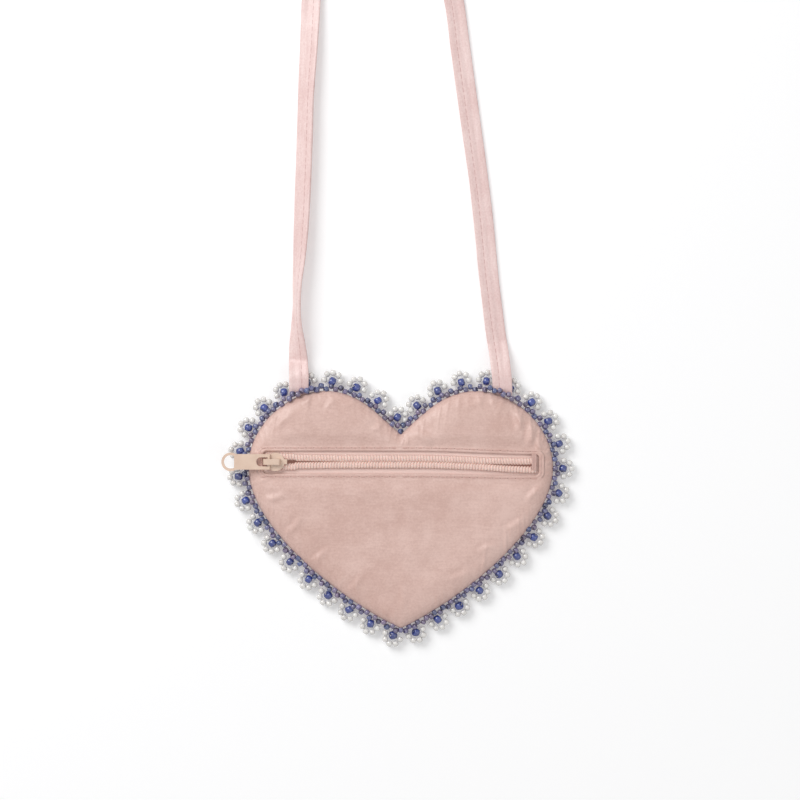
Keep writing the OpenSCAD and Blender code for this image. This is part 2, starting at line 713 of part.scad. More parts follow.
front_panel();
front_wadding();
front_lining();
back_lining();
back_wadding();
back_panel();
zip_stitching();
end_bar_tack();
zip_tape_upper();
zip_tape_lower();
zip_coil_upper();
zip_coil_lower();
coil_cord_upper();
coil_cord_lower();
slider_body();
slider_crown();
lock_pawl();
slider_pull();
edge_beads_left();
edge_beads_right();
edge_thread();
picot_blue_left();
picot_blue_right();
picot_clear_left();
picot_clear_right();
picot_threads();
strap_left();
strap_right();
strap_coil();
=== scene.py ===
"""Looks of a heart shaped purse: padded satin, a zip pocket, a beaded picot edge and a flat satin strap."""
import math

import bmesh
import bpy
import numpy as np
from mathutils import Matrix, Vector, noise


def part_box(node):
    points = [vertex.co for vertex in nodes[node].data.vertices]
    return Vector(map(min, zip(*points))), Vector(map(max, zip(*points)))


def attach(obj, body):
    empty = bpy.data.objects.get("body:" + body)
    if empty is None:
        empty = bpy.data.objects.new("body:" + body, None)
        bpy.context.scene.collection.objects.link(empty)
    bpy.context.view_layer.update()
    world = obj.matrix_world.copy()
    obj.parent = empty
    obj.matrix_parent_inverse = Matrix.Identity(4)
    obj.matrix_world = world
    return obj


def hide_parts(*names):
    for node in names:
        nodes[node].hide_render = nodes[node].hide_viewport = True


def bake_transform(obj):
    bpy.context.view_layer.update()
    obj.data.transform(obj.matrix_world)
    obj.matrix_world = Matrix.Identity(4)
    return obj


MM = 0.001

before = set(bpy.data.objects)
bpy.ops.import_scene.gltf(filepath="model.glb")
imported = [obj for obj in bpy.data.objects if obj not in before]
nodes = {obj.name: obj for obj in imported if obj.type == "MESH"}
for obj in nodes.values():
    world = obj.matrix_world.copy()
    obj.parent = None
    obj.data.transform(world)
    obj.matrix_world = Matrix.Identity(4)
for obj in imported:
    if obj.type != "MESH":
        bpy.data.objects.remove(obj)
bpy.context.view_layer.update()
bpy.ops.object.select_all(action="DESELECT")
scene = bpy.context.scene
scene.view_settings.view_transform = "Standard"

# Sizes of the heart, in millimetres, as the part has them
NOTCH_Y = 29.9
TIP_Y = 44.2
HALF_W = 57.7
SIDE_Y = 16.8
LOBE_X = 28.6
LOBE_Y = 45.9
NOTCH_ANGLE = math.radians(40)
TIP_ANGLE = math.radians(24.3)
SEAM_INSET = 0.4
RIM_W = 5.0
STRAP_W = 7.4
STRAP_T = 1.2
STRAP_X = 38.2

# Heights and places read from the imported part, in millimetres
PANEL_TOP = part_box("back_panel")[1].z / MM
SEAM_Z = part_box("back_panel")[0].z / MM
TAPE_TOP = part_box("zip_tape_upper")[1].z / MM
ROW_LOW, ROW_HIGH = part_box("zip_stitching")
ZIP_Y = (ROW_LOW.y + ROW_HIGH.y) / 2 / MM
ROW_PAST = 0.5
WINDOW_LEFT = ROW_LOW.x / MM + ROW_PAST
WINDOW_RIGHT = ROW_HIGH.x / MM - ROW_PAST
WINDOW_HALF = 3.95
WINDOW_R = 1.4

# Camera

# PIXEL is the millimetres that one pixel of the view spans at FOCUS_Z; CENTRE_PX is where the origin shows
PIXEL = 0.375
CENTRE_PX = (400.7, 512.0)
FRAME_PX = 800
CAMERA_HEIGHT = 1150.0
FOCUS_Z = 5
SENSOR = 36

cam_data = bpy.data.cameras.new("camera")
camera = bpy.data.objects.new("camera", cam_data)
scene.collection.objects.link(camera)
camera.location = (
    (FRAME_PX / 2 - CENTRE_PX[0]) * PIXEL * MM,
    (CENTRE_PX[1] - FRAME_PX / 2) * PIXEL * MM,
    CAMERA_HEIGHT * MM,
)
cam_data.sensor_width = SENSOR
cam_data.lens = SENSOR * (CAMERA_HEIGHT - FOCUS_Z) / (FRAME_PX * PIXEL)
cam_data.clip_start = 0.05
cam_data.clip_end = 20
scene.camera = camera


# Small helpers

def unit(v):
    """Each row of v at length 1."""
    return v / np.maximum(np.linalg.norm(v, axis=-1, keepdims=True), 1e-12)


def smoothstep(t):
    """Eases from 0 at 0 to 1 at 1, and stays there beyond them."""
    t = np.clip(t, 0, 1)
    return t * t * (3 - 2 * t)


def ease(x, start, span):
    """Smoothstep that starts at a place and takes a span."""
    return smoothstep((x - start) / span)


def add_object(name, data, body):
    """Puts a piece in the scene, riding on a body where one is given."""
    obj = bpy.data.objects.new(name, data)
    scene.collection.objects.link(obj)
    if body:
        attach(obj, body)
    return obj


def mesh_object(name, verts, faces, body, material, smooth=True):
    """A mesh piece from points in millimetres."""
    mesh = bpy.data.meshes.new(name)
    mesh.from_pydata((np.asarray(verts, float) * MM).tolist(), [], faces)
    mesh.update()
    if smooth:
        mesh.shade_smooth()
        # the caps of tubes stay flat, with sharp edges
        rims = {key for face in mesh.polygons if len(face.vertices) > 4 for key in face.edge_keys}
        for face in mesh.polygons:
            face.use_smooth = len(face.vertices) <= 4
        if rims:
            for edge in mesh.edges:
                edge.use_edge_sharp = edge.key in rims
    if material:
        mesh.materials.append(material)
    return add_object(name, mesh, body)


def ring_faces(rings, count, start=0):
    """Quads between closed rings of count points each."""
    faces = []
    for j in range(rings - 1):
        a = start + j * count
        b = a + count
        for k in range(count):
            m = (k + 1) % count
            faces.append((a + k, a + m, b + m, b + k))
    return faces


def tube_faces(rings, count, start=0):
    """Quads round a tube of rings, and a cap at each end."""
    last = start + (rings - 1) * count
    return ring_faces(rings, count, start) + [
        tuple(start + k for k in range(count)),
        tuple(last + k for k in reversed(range(count))),
    ]


def fix_normals(obj):
    """Turns every face of a closed piece outwards."""
    bm = bmesh.new()
    bm.from_mesh(obj.data)
    bmesh.ops.recalc_face_normals(bm, faces=bm.faces)
    bm.to_mesh(obj.data)
    bm.free()


# Materials

def new_material(name):
    mat = bpy.data.materials.new(name)
    mat.use_nodes = True
    tree = mat.node_tree
    return mat, tree, tree.nodes["Principled BSDF"]


def link(tree, a, b):
    tree.links.new(a, b)


def set_inputs(node, values):
    """Sets a node's inputs by name; a colour is given by three values."""
    for name, value in values.items():
        socket = node.inputs[name]
        socket.default_value = (*value, 1) if socket.type == "RGBA" else value


def math_node(tree, operation, *values):
    """A Math node; each value is a number or another node's output."""
    node = tree.nodes.new("ShaderNodeMath")
    node.operation = operation
    for socket, value in zip(node.inputs, values):
        if isinstance(value, (int, float)):
            socket.default_value = value
        else:
            link(tree, value, socket)
    return node.outputs[0]


def pattern_coords(tree, source="Object", scale=(1, 1, 1)):
    """The coordinates that a pattern follows: the piece's own, or its map."""
    coords = tree.nodes.new("ShaderNodeTexCoord")
    mapping = tree.nodes.new("ShaderNodeMapping")
    mapping.inputs["Scale"].default_value = scale
    link(tree, coords.outputs[source], mapping.inputs["Vector"])
    return mapping.outputs["Vector"]


def noise_node(tree, vector, scale, detail=2.0, rough=0.5):
    node = tree.nodes.new("ShaderNodeTexNoise")
    set_inputs(node, {"Scale": scale, "Detail": detail, "Roughness": rough})
    link(tree, vector, node.inputs["Vector"])
    return node.outputs["Fac"]


def ramp(tree, fac, low, high):
    """Blends from one colour to another; low and high are each (value, colour)."""
    node = tree.nodes.new("ShaderNodeValToRGB")
    for element, (place, colour) in zip(node.color_ramp.elements, (low, high)):
        element.position = place
        element.color = (*colour, 1)
    link(tree, fac, node.inputs["Fac"])
    return node.outputs["Color"]


def weighted(tree, parts):
    """The sum of several values, each times its share."""
    total = 0.0
    for value, share in parts:
        total = math_node(tree, "MULTIPLY_ADD", value, share, total)
    return total


def bump(tree, height, strength, distance):
    node = tree.nodes.new("ShaderNodeBump")
    set_inputs(node, {"Strength": strength, "Distance": distance})
    link(tree, height, node.inputs["Height"])
    return node.outputs["Normal"]


def srgb(r, g, b):
    """A colour given as it shows, in 0 to 255, in the shader's linear values."""
    def one(c):
        c /= 255
        return c / 12.92 if c <= 0.04045 else ((c + 0.055) / 1.055) ** 2.4
    return (one(r), one(g), one(b))


# How far each noise of the weave is drawn out, and its size: warp, weft and slubs
WEAVE_STRETCHES = (((0.12, 1, 1), 1.0), ((1, 0.25, 1), 0.7), ((0.05, 0.3, 1), 0.5))
WEAVE_DETAIL = 1.5
THREADS = 9000.0


def weave_group():
    """Fine satin weave: long floats with slubs. Puts out a height and a shade."""
    group = bpy.data.node_groups.new("satin weave", "ShaderNodeTree")
    for name, way, kind in (("Vector", "INPUT", "Vector"), ("Thread", "INPUT", "Float"),
                            ("Height", "OUTPUT", "Float"), ("Shade", "OUTPUT", "Float")):
        group.interface.new_socket(name, in_out=way, socket_type="NodeSocket" + kind)
    inner = group.nodes
    start = inner.new("NodeGroupInput")
    end = inner.new("NodeGroupOutput")
    scaled = inner.new("ShaderNodeVectorMath")
    scaled.operation = "SCALE"
    link(group, start.outputs["Vector"], scaled.inputs[0])
    link(group, start.outputs["Thread"], scaled.inputs["Scale"])
    results = []
    for stretch, size in WEAVE_STRETCHES:
        mapping = inner.new("ShaderNodeMapping")
        mapping.inputs["Scale"].default_value = stretch
        link(group, scaled.outputs[0], mapping.inputs["Vector"])
        results.append(noise_node(group, mapping.outputs["Vector"], size, WEAVE_DETAIL))
    warp, weft, slubs = results
    link(group, math_node(group, "ADD", warp, weft), end.inputs["Height"])
    link(group, slubs, end.inputs["Shade"])
    return group


WEAVE = weave_group()


def sewn_line(tree, vector, place, half, pitch, share):
    """1 on a stitched line along the piece, at a place across it; fainter between its stitches."""
    split = tree.nodes.new("ShaderNodeSeparateXYZ")
    link(tree, vector, split.inputs[0])
    off = math_node(tree, "ABSOLUTE", math_node(tree, "SUBTRACT", split.outputs["Y"], place))
    near = math_node(tree, "LESS_THAN", off, half)
    beat = math_node(tree, "PINGPONG", split.outputs["X"], pitch / 2)
    dash = math_node(tree, "LESS_THAN", beat, pitch / 2 * share)
    return math_node(tree, "MULTIPLY", near, math_node(tree, "MULTIPLY_ADD", dash, 0.75, 0.25))


def mix_colours(tree, a, b, fac, blend="MIX"):
    """Mixes b over a; b and fac are each a value or another node's output."""
    node = tree.nodes.new("ShaderNodeMix")
    node.data_type = "RGBA"
    node.blend_type = blend
    link(tree, a, node.inputs["A"])
    for name, value in (("B", b), ("Factor", fac)):
        if isinstance(value, bpy.types.NodeSocket):
            link(tree, value, node.inputs[name])
        else:
            node.inputs[name].default_value = value
    return node.outputs["Result"]


# The uneven tone of satin: size, detail, roughness and share of each noise
TONES = ((40.0, 3.0, 0.55, 0.34), (170.0, 2.0, 0.6, 0.18), (1300.0, 2.0, 0.7, 0.32))
SLUB_SHARE = 0.16
# The strap's stitched line, in metres: its place across, half its width, the stitches' pitch and share
STRAP_SEAM = 0.0011
SEAM_HALF = 0.00017
SEAM_PITCH = 0.0026
SEAM_SHARE = 0.6
SEAM_TONE = srgb(212, 174, 170)


def satin(name, light, dark, rough, sewn=False):
    """Satin whose threads run along X, or along the piece where it is sewn as a strap."""
    mat, tree, bsdf = new_material(name)
    vector = pattern_coords(tree, "UV" if sewn else "Object")
    weave = tree.nodes.new("ShaderNodeGroup")
    weave.node_tree = WEAVE
    weave.inputs["Thread"].default_value = THREADS
    link(tree, vector, weave.inputs["Vector"])
    slubs = weave.outputs["Shade"]
    tones = [(noise_node(tree, vector, size, detail, rough_share), share)
             for size, detail, rough_share, share in TONES]
    colour = ramp(tree, weighted(tree, [(slubs, SLUB_SHARE)] + tones), (0.40, dark), (0.60, light))
    if sewn:
        line = sewn_line(tree, vector, STRAP_SEAM, SEAM_HALF, SEAM_PITCH, SEAM_SHARE)
        colour = mix_colours(tree, colour, (*SEAM_TONE, 1), line)
    link(tree, colour, bsdf.inputs["Base Color"])
    rough_ramp = ramp(tree, slubs, (0.3, (rough - 0.06,) * 3), (0.7, (rough + 0.08,) * 3))
    link(tree, rough_ramp, bsdf.inputs["Roughness"])
    link(tree, bump(tree, weave.outputs["Height"], 0.35, 0.00006), bsdf.inputs["Normal"])
    set_inputs(bsdf, {"Sheen Weight": 0.25, "Sheen Roughness": 0.35, "Specular IOR Level": 0.55})
    return mat


def plain_cloth(name, light, dark, scale=2500.0, rough=0.85, painted_glow=None):
    """Matt cloth; the glow given is painted light, an emission that lightens the cloth where it lies in
    shade.
    """
    mat, tree, bsdf = new_material(name)
    fine = noise_node(tree, pattern_coords(tree), scale)
    link(tree, ramp(tree, fine, (0.35, dark), (0.65, light)), bsdf.inputs["Base Color"])
    link(tree, bump(tree, fine, 0.5, 0.0001), bsdf.inputs["Normal"])
    set_inputs(bsdf, {"Roughness": rough, "Sheen Weight": 0.2})
    # painted light: the cloth glows faintly though it is no lamp
    if painted_glow:
        set_inputs(bsdf, {"Emission Color": painted_glow, "Emission Strength": 1.0})
    return mat


def coil_material():
    mat, tree, bsdf = new_material("coil filament")
    fine = noise_node(tree, pattern_coords(tree), 700.0)
    link(tree, ramp(tree, fine, (0.35, srgb(234, 202, 191)), (0.65, srgb(243, 213, 202))),
         bsdf.inputs["Base Color"])
    set_inputs(bsdf, {"Roughness": 0.5, "Subsurface Weight": 0.1,
                      "Subsurface Radius": (0.0006, 0.0003, 0.0002)})
    return mat


def enamel_material():
    mat, tree, bsdf = new_material("beige enamel")
    vector = pattern_coords(tree)
    soft = noise_node(tree, vector, 260.0, 3.0)
    link(tree, ramp(tree, soft, (0.3, srgb(219, 189, 168)), (0.7, srgb(228, 200, 179))),
         bsdf.inputs["Base Color"])
    link(tree, bump(tree, noise_node(tree, vector, 900.0), 0.06, 0.0002), bsdf.inputs["Normal"])
    set_inputs(bsdf, {"Roughness": 0.32, "Coat Weight": 0.4, "Coat Roughness": 0.18})
    return mat


def steel_material():
    mat, tree, bsdf = new_material("spring steel")
    grain = noise_node(tree, pattern_coords(tree, scale=(1, 12, 1)), 1500.0)
    link(tree, ramp(tree, grain, (0.3, (0.5,) * 3), (0.7, (0.72,) * 3)), bsdf.inputs["Base Color"])
    set_inputs(bsdf, {"Metallic": 1.0, "Roughness": 0.3})
    return mat


def bead_material(name, transmission, rough, coat):
    """Glass whose tint is stored bead by bead on the mesh."""
    mat, tree, bsdf = new_material(name)
    tint = tree.nodes.new("ShaderNodeAttribute")
    tint.attribute_name = "bead_tint"
    streak = noise_node(tree, pattern_coords(tree), 900.0)
    shade = ramp(tree, streak, (0.3, (0.86,) * 3), (0.7, (1.0,) * 3))
    link(tree, mix_colours(tree, tint.outputs["Color"], shade, 1.0, "MULTIPLY"), bsdf.inputs["Base Color"])
    set_inputs(bsdf, {"Transmission Weight": transmission, "Roughness": rough, "IOR": 1.5,
                      "Coat Weight": coat, "Coat Roughness": 0.04})
    return mat


SATIN = satin("dusty satin", srgb(227, 194, 184), srgb(208, 171, 160), 0.4)
STRAP_SATIN = satin("strap satin", srgb(243, 218, 214), srgb(226, 192, 188), 0.36, sewn=True)
# The lining's glow is painted light that lightens the shaded inside seen through the gap between the zip's
# rows.
LINING = plain_cloth("lining cloth", srgb(225, 196, 188), srgb(212, 180, 172), painted_glow=(0.075, 0.05, 0.042))
WADDING = plain_cloth("wadding fleece", srgb(240, 236, 230), srgb(225, 220, 212), 900.0, 0.95)
THREAD = plain_cloth("sewing thread", srgb(222, 186, 177), srgb(204, 164, 155), 6000.0, 0.7)
TAPE_CLOTH = plain_cloth("zip tape cloth", srgb(250, 222, 213), srgb(243, 213, 204), 4000.0, 0.8)
DUSKY_THREAD = plain_cloth("dusky thread", srgb(168, 156, 176), srgb(138, 126, 150), 6000.0, 0.6)
# The needle holes' colour is painted shade: the satin's colour as it shows in shadow.
HOLE_SHADE = plain_cloth("needle hole shade", srgb(176, 134, 124), srgb(158, 116, 106), 6000.0, 0.95)
WHITE_THREAD = plain_cloth("beading thread", srgb(235, 232, 235), srgb(205, 202, 210), 6000.0, 0.6)
COIL = coil_material()
ENAMEL = enamel_material()
STEEL = steel_material()
DUSKY_GLASS = bead_material("dusky glass", 0.25, 0.12, 0.9)
BLUE_GLASS = bead_material("blue glass", 0.0, 0.16, 1.0)
CLEAR_GLASS = bead_material("clear glass", 0.14, 0.08, 1.0)


# Outline of the heart

# How far the curves' handles reach: from the notch, on both sides of the lobe's top, over and under the
# side, and from the tip
NOTCH_PULL = 10.2
LOBE_PULLS = (13.3, 13.9)
SIDE_PULLS = (15.8, 24.0)
TIP_PULL = 22.0
CURVE_STEPS = 24
TIP_STEPS = 4

NOTCH = np.array([0, NOTCH_Y])
LOBE = np.array([LOBE_X, LOBE_Y])
SIDE = np.array([HALF_W, SIDE_Y])
TIP = np.array([0, -TIP_Y])
NOTCH_WAY = np.array([math.cos(NOTCH_ANGLE), math.sin(NOTCH_ANGLE)])
TIP_WAY = np.array([math.cos(TIP_ANGLE), math.sin(TIP_ANGLE)])
CURVES = (
    (NOTCH, NOTCH + NOTCH_PULL * NOTCH_WAY, LOBE - (LOBE_PULLS[0], 0), LOBE),
    (LOBE, LOBE + (LOBE_PULLS[1], 0), SIDE + (0, SIDE_PULLS[0]), SIDE),
    (SIDE, SIDE - (0, SIDE_PULLS[1]), TIP + TIP_PULL * TIP_WAY, TIP),
)


def outline(away):
    """Closed line round the heart, moved outwards by away, clockwise from the notch."""
    half = [NOTCH + (0, away / math.cos(NOTCH_ANGLE))]
    for a, b, c, d in CURVES:
        for k in range(CURVE_STEPS):
            t = k / CURVE_STEPS
            s = 1 - t
            p = s**3 * a + 3 * s * s * t * b + 3 * s * t * t * c + t**3 * d
            slope = s * s * (b - a) + 2 * s * t * (c - b) + t * t * (d - c)
            slope = slope / np.linalg.norm(slope)
            p = p + away * np.array([-slope[1], slope[0]])
            if p[0] > SEAM_INSET:
                half.append(p)
    if away > 0:
        for k in range(TIP_STEPS + 1):
            a = TIP_ANGLE * (1 - k / TIP_STEPS)
            half.append(TIP + away * np.array([math.sin(a), -math.cos(a)]))
    else:
        half.append(TIP - (0, away / math.cos(TIP_ANGLE)))
    half = np.array(half)
    mirror = half[-2:0:-1] * (-1, 1)
    return np.vstack([half, mirror])


class ClosedLine:
    """Places along a closed line by distance."""

    def __init__(self, points):
        self.points = np.vstack([points, points[:1]])
        steps = np.linalg.norm(np.diff(self.points, axis=0), axis=1)
        self.reach = np.concatenate([[0], np.cumsum(steps)])
        self.length = self.reach[-1]

    def at(self, s):
        s = np.mod(s, self.length)
        x = np.interp(s, self.reach, self.points[:, 0])
        y = np.interp(s, self.reach, self.points[:, 1])
        return np.stack([x, y], -1)

    def facing(self, s, span):
        way = self.at(s + span) - self.at(s - span)
        return np.arctan2(way[..., 1], way[..., 0])


# Strap: laid as in the photo, with the rest put away beyond the view

# Places along each stretch: x, y, least height, and roll in degrees; a height of 0 rests on the table
LEFT_ROUTE = [
    (-38.2, 43.9, 3.7, 0), (-38.2, 46.2, 4.45, 0), (-38.2, 48, 4.5, 0), (-38.2, 52, 4.4, 5),
    (-38.7, 61, 0, 30), (-39.1, 70, 0, 60), (-39, 78, 0, 70), (-38.8, 86, 0, 65), (-38, 96, 0, 52),
    (-37.2, 110, 0, 42), (-36.6, 124.5, 0, 38), (-36, 141, 0, 38), (-35.5, 157.5, 0, 36),
    (-34.5, 175, 0, 26), (-33.7, 192, 0, 14), (-33.3, 210, 0, 4), (-33.2, 228, 0, 0), (-33.3, 250, 0, 0),
]
RIGHT_ROUTE = [
    (38.2, 43.9, 3.7, 0), (38.2, 46.2, 4.45, 0), (38.1, 48, 4.5, 0), (37.8, 52, 4.4, 0), (36.9, 60, 1.8, 0),
    (35.8, 67, 0, 0), (34.4, 78, 0, 0), (33, 90, 0, 0), (31.4, 107, 0, 0), (29.4, 124.5, 0, 0),
    (27.1, 141, 0, 0), (24.8, 157.5, 0, 0), (22.4, 175, 0, 0), (20.1, 192, 0, 0), (17.2, 199.6, 0, 0),
    (10.6, 204.9, 0, 0), (1.3, 207.6, 0, 0),
]
# The rest of the strap is put away as a doubled spiral: its radii, the step from turn to turn, where its
# arms start in degrees, and the parts of a turn
SPIRAL_CENTRE = (16.7, 250.0)
SPIRAL_OUTER = 50.0
SPIRAL_INNER = 30.0
SPIRAL_STEP = 16.6
SPIRAL_FROM = 180.0
SPIRAL_TO = 250.0
SPIRAL_PARTS = 24
STRAP_STEP = 1.0
ROUTE_PARTS = 8
SPIRAL_FINE = 6


def on_circle(centre, a, r):
    """A place on the table, at an angle in degrees round a centre."""
    a = math.radians(a)
    return (centre[0] + r * math.cos(a), centre[1] + r * math.sin(a), 0, 0)


def spiral_route():
    """The doubled strap's spiral: two arms half a turn apart that meet in an S at the middle."""
    span = SPIRAL_OUTER - SPIRAL_INNER
    outer_turn = span / SPIRAL_STEP * 360
    other_turn = outer_turn - 180 + SPIRAL_TO - SPIRAL_FROM
    n = math.ceil(outer_turn / 360 * SPIRAL_PARTS)
    left = [on_circle(SPIRAL_CENTRE, SPIRAL_FROM - outer_turn * k / n, SPIRAL_OUTER - span * k / n)
            for k in range(n + 1)]
    m = math.ceil(other_turn / 360 * SPIRAL_PARTS)
    right = [on_circle(SPIRAL_CENTRE, SPIRAL_TO - other_turn * k / m,
                       SPIRAL_INNER + SPIRAL_STEP * other_turn * (m - k) / m / 360)
             for k in range(m + 1)]
    end = SPIRAL_FROM - outer_turn
    half = SPIRAL_PARTS // 2

    def bend(middle, start, way):
        centre = on_circle(SPIRAL_CENTRE, middle, SPIRAL_INNER / 2)
        return [on_circle(centre, start + way * 180 * k / half, SPIRAL_INNER / 2) for k in range(1, half)]

    return left + bend(end, end, -1) + [(*SPIRAL_CENTRE, 0, 0)] + bend(end + 180, end, 1) + right[::-1]


def table_height(roll):
    """How high the strap's middle stands when it rests on the table at a roll."""
    a = np.radians(roll)
    return STRAP_W / 2 * np.abs(np.sin(a)) + STRAP_T / 2 * np.abs(np.cos(a))


def catmull(points, parts):
    """Rounds a route off between its points."""
    p = np.array(points, float)
    p = np.vstack([2 * p[0] - p[1], p, 2 * p[-1] - p[-2]])
    out = []
    for k in range(1, len(p) - 2):
        a, b, c, d = p[k - 1], p[k], p[k + 1], p[k + 2]
        t = np.arange(parts)[:, None] / parts
        out.append(b + t / 2 * (c - a + t * (2 * a - 5 * b + 4 * c - d + t * (3 * (b - c) + d - a))))
    out.append(p[-2:-1])
    return np.vstack(out)


def resample(line, step):
    """Even steps along a line whose first two columns are its place."""
    gaps = np.linalg.norm(np.diff(line[:, :2], axis=0), axis=1)
    reach = np.concatenate([[0], np.cumsum(gaps)])
    count = int(round(reach[-1] / step))
    s = np.linspace(0, reach[-1], count + 1)
    return np.stack([np.interp(s, reach, line[:, k]) for k in range(line.shape[1])], 1), s


# The strap's section, as shares of half its width and half its thickness
TURN_FROM = 0.93
FACE_FROM = 0.92
FACE_POINTS = 11
# Its seam's dip and its loose fold: place across, wander, depth and width
SEAM_PLACE = STRAP_SEAM / MM
SEAM_WANDER = 0.25
SEAM_DIP = (0.24, 0.55)
FOLD_PLACE = -1.2
FOLD_WANDER = 1.6
FOLD_DEPTH = 0.26
FOLD_CHANGE = 0.2
FOLD_WIDTH = 0.8
TABLE_GAP = 0.02


def wander(s, rate, seed):
    """A slow change along the strap, from -1 to 1."""
    return noise.noise(Vector((s * rate, seed, 0)))


def strap_section():
    """Points round the flat tube: even steps on both faces and a round turn at each side."""
    turn = [(TURN_FROM + (1 - TURN_FROM) * math.cos(math.radians(a)), math.sin(math.radians(a)))
            for a in (-60, -30, 0, 30, 60)]
    face = [(u, 1.0) for u in np.linspace(FACE_FROM, -FACE_FROM, FACE_POINTS)]
    half = turn[2:] + face + [(-u, v) for u, v in turn[:2:-1]]
    return np.array(half + [(-u, -v) for u, v in half])


def strap_mesh():
    """The whole strap: a flat tube with soft edges, a stitched seam, a loose fold and small ripples."""
    left = catmull(LEFT_ROUTE, ROUTE_PARTS)
    spiral = catmull([LEFT_ROUTE[-2]] + spiral_route() + [RIGHT_ROUTE[-2]], SPIRAL_FINE)
    right = catmull(RIGHT_ROUTE, ROUTE_PARTS)
    line, s = resample(np.vstack([left[:-1], spiral[SPIRAL_FINE:-SPIRAL_FINE - 1], right[::-1]]), STRAP_STEP)
    roll = line[:, 3]
    height = np.maximum(line[:, 2], table_height(roll))
    centre = np.stack([line[:, 0], line[:, 1], height], 1)
    way = unit(np.gradient(centre[:, :2], axis=0))
    across = np.stack([way[:, 1], -way[:, 0]], 1)
    section = strap_section()
    count = len(section)
    on_face = np.sign(section[:, 1]) * (np.abs(section[:, 1]) > 0.95)
    verts = np.zeros((len(line), count, 3))
    for i in range(len(line)):
        ripple = 1 + 0.05 * wander(s[i], 0.05, 3.1)
        puff = 0.8 + 0.25 * wander(s[i], 0.08, 9.7)
        u = section[:, 0] * STRAP_W / 2 * min(ripple, 1)
        v = section[:, 1] * STRAP_T / 2 * min(puff, 1)
        seam_u = SEAM_PLACE + SEAM_WANDER * wander(s[i], 0.03, 5.3)
        fold_u = FOLD_PLACE + FOLD_WANDER * wander(s[i], 0.017, 7.9)
        fold_h = FOLD_DEPTH + FOLD_CHANGE * wander(s[i], 0.045, 2.2)
        dip = (SEAM_DIP[0] * np.exp(-((u - seam_u) / SEAM_DIP[1]) ** 2)
               + fold_h * np.exp(-((u - fold_u) / FOLD_WIDTH) ** 2))
        v = v - dip * on_face
        r = math.radians(roll[i])
        uu = u * math.cos(r) - v * math.sin(r)
        vv = u * math.sin(r) + v * math.cos(r)
        verts[i, :, :2] = centre[i, :2] + across[i] * uu[:, None]
        verts[i, :, 2] = centre[i, 2] + vv
    flat = verts.reshape(-1, 3)
    flat[:, 2] = np.maximum(flat[:, 2], TABLE_GAP)
    obj = mesh_object("strap", flat, tube_faces(len(line), count), "root", STRAP_SATIN)
    fix_normals(obj)
    uv = obj.data.uv_layers.new(name="along")
    along = np.repeat(s, count) * MM
    over = np.tile(section[:, 0] * STRAP_W / 2, len(line)) * MM
    loops = np.zeros(len(obj.data.loops), int)
    obj.data.loops.foreach_get("vertex_index", loops)
    uv.data.foreach_set("uv", np.stack([along[loops], over[loops]], 1).ravel())
    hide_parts("strap_left", "strap_right", "strap_coil")


strap_mesh()


# Padded panels

ROUND = 720
SEAM = ClosedLine(outline(-SEAM_INSET))

# The zip's dip at its right end: how deep, and the stretch that it takes
ZIP_DIP = 1.45
DIP_EASE = (6.0, 44.0)
# The window's edge takes a share of the dip, more above the zip than below, and sits a little low
EDGE_DIP = 0.68
EDGE_DIP_MORE = 0.2
EDGE_LOW = 0.25


def zip_bend(x):
    """The zip's right end dips a little."""
    return -ZIP_DIP * ease(np.asarray(x, float), *DIP_EASE)


def window_bend(x, y):
    """How far the window's edge follows the zip down: more above it than below."""
    t = np.clip((np.asarray(y, float) - ZIP_Y) / WINDOW_HALF, -1, 1)
    return zip_bend(x) * (EDGE_DIP + EDGE_DIP_MORE * t) - EDGE_LOW + EDGE_LOW * t


def window_edge(p, grow=0.0):
    """Nearest place on the window's round cornered rectangle to each point."""
    r = WINDOW_R
    q = np.stack([
        np.clip(p[:, 0], WINDOW_LEFT - grow + r, WINDOW_RIGHT + grow - r),
        np.clip(p[:, 1], ZIP_Y - WINDOW_HALF - grow + r, ZIP_Y + WINDOW_HALF + grow - r)], 1)
    q = q + r * unit(p - q)
    q[:, 1] += window_bend(q[:, 0], q[:, 1])
    return q


# Wrinkles: where each starts, where it ends, how wide and how high it is
CREASE_GAIN = 1.4
CREASES = (
    ((-55.0, 26.5), (-50.5, 36.5), 1.3, 0.50),
    ((-51.5, 31.0), (-44.5, 40.5), 1.2, 0.55),
    ((-47.0, 30.0), (-39.5, 38.5), 1.5, 0.32),
    ((-37.5, 40.5), (-33.0, 45.0), 1.2, 0.50),
    ((-29.0, 37.5), (-22.5, 43.5), 1.0, 0.20),
    ((-22.0, 39.5), (-12.0, 40.5), 1.1, 0.35),
    ((-12.0, 31.0), (-5.0, 33.5), 1.0, 0.30),
    ((2.5, 31.5), (13.5, 24.0), 1.8, 0.50),
    ((10.5, 38.5), (21.5, 43.0), 0.9, 0.35),
    ((24.0, 38.0), (31.0, 43.5), 1.1, 0.18),
    ((33.0, 42.0), (39.5, 43.0), 0.9, 0.35),
    ((44.5, 30.0), (43.5, 40.0), 1.4, 0.55),
    ((49.0, 24.5), (48.0, 35.0), 1.2, 0.45),
    ((53.0, 21.0), (52.0, 29.0), 1.0, 0.35),
    ((-53.5, 11.0), (-45.0, 15.0), 1.1, 0.30),
    ((-52.0, 3.0), (-42.0, 8.0), 1.3, 0.32),
    ((-44.0, -9.0), (-36.0, -1.0), 1.2, 0.28),
    ((-33.0, -20.0), (-27.0, -12.0), 1.1, 0.25),
    ((-20.0, -31.0), (-14.0, -22.0), 1.1, 0.22),
    ((0.0, -38.0), (1.0, -24.0), 1.3, 0.16),
    ((46.0, 4.0), (54.0, 9.0), 1.2, 0.35),
    ((38.0, -6.0), (47.0, -3.0), 1.2, 0.28),
    ((28.0, -16.0), (37.0, -12.0), 1.1, 0.28),
    ((17.0, -27.0), (26.0, -21.0), 1.1, 0.25),
)


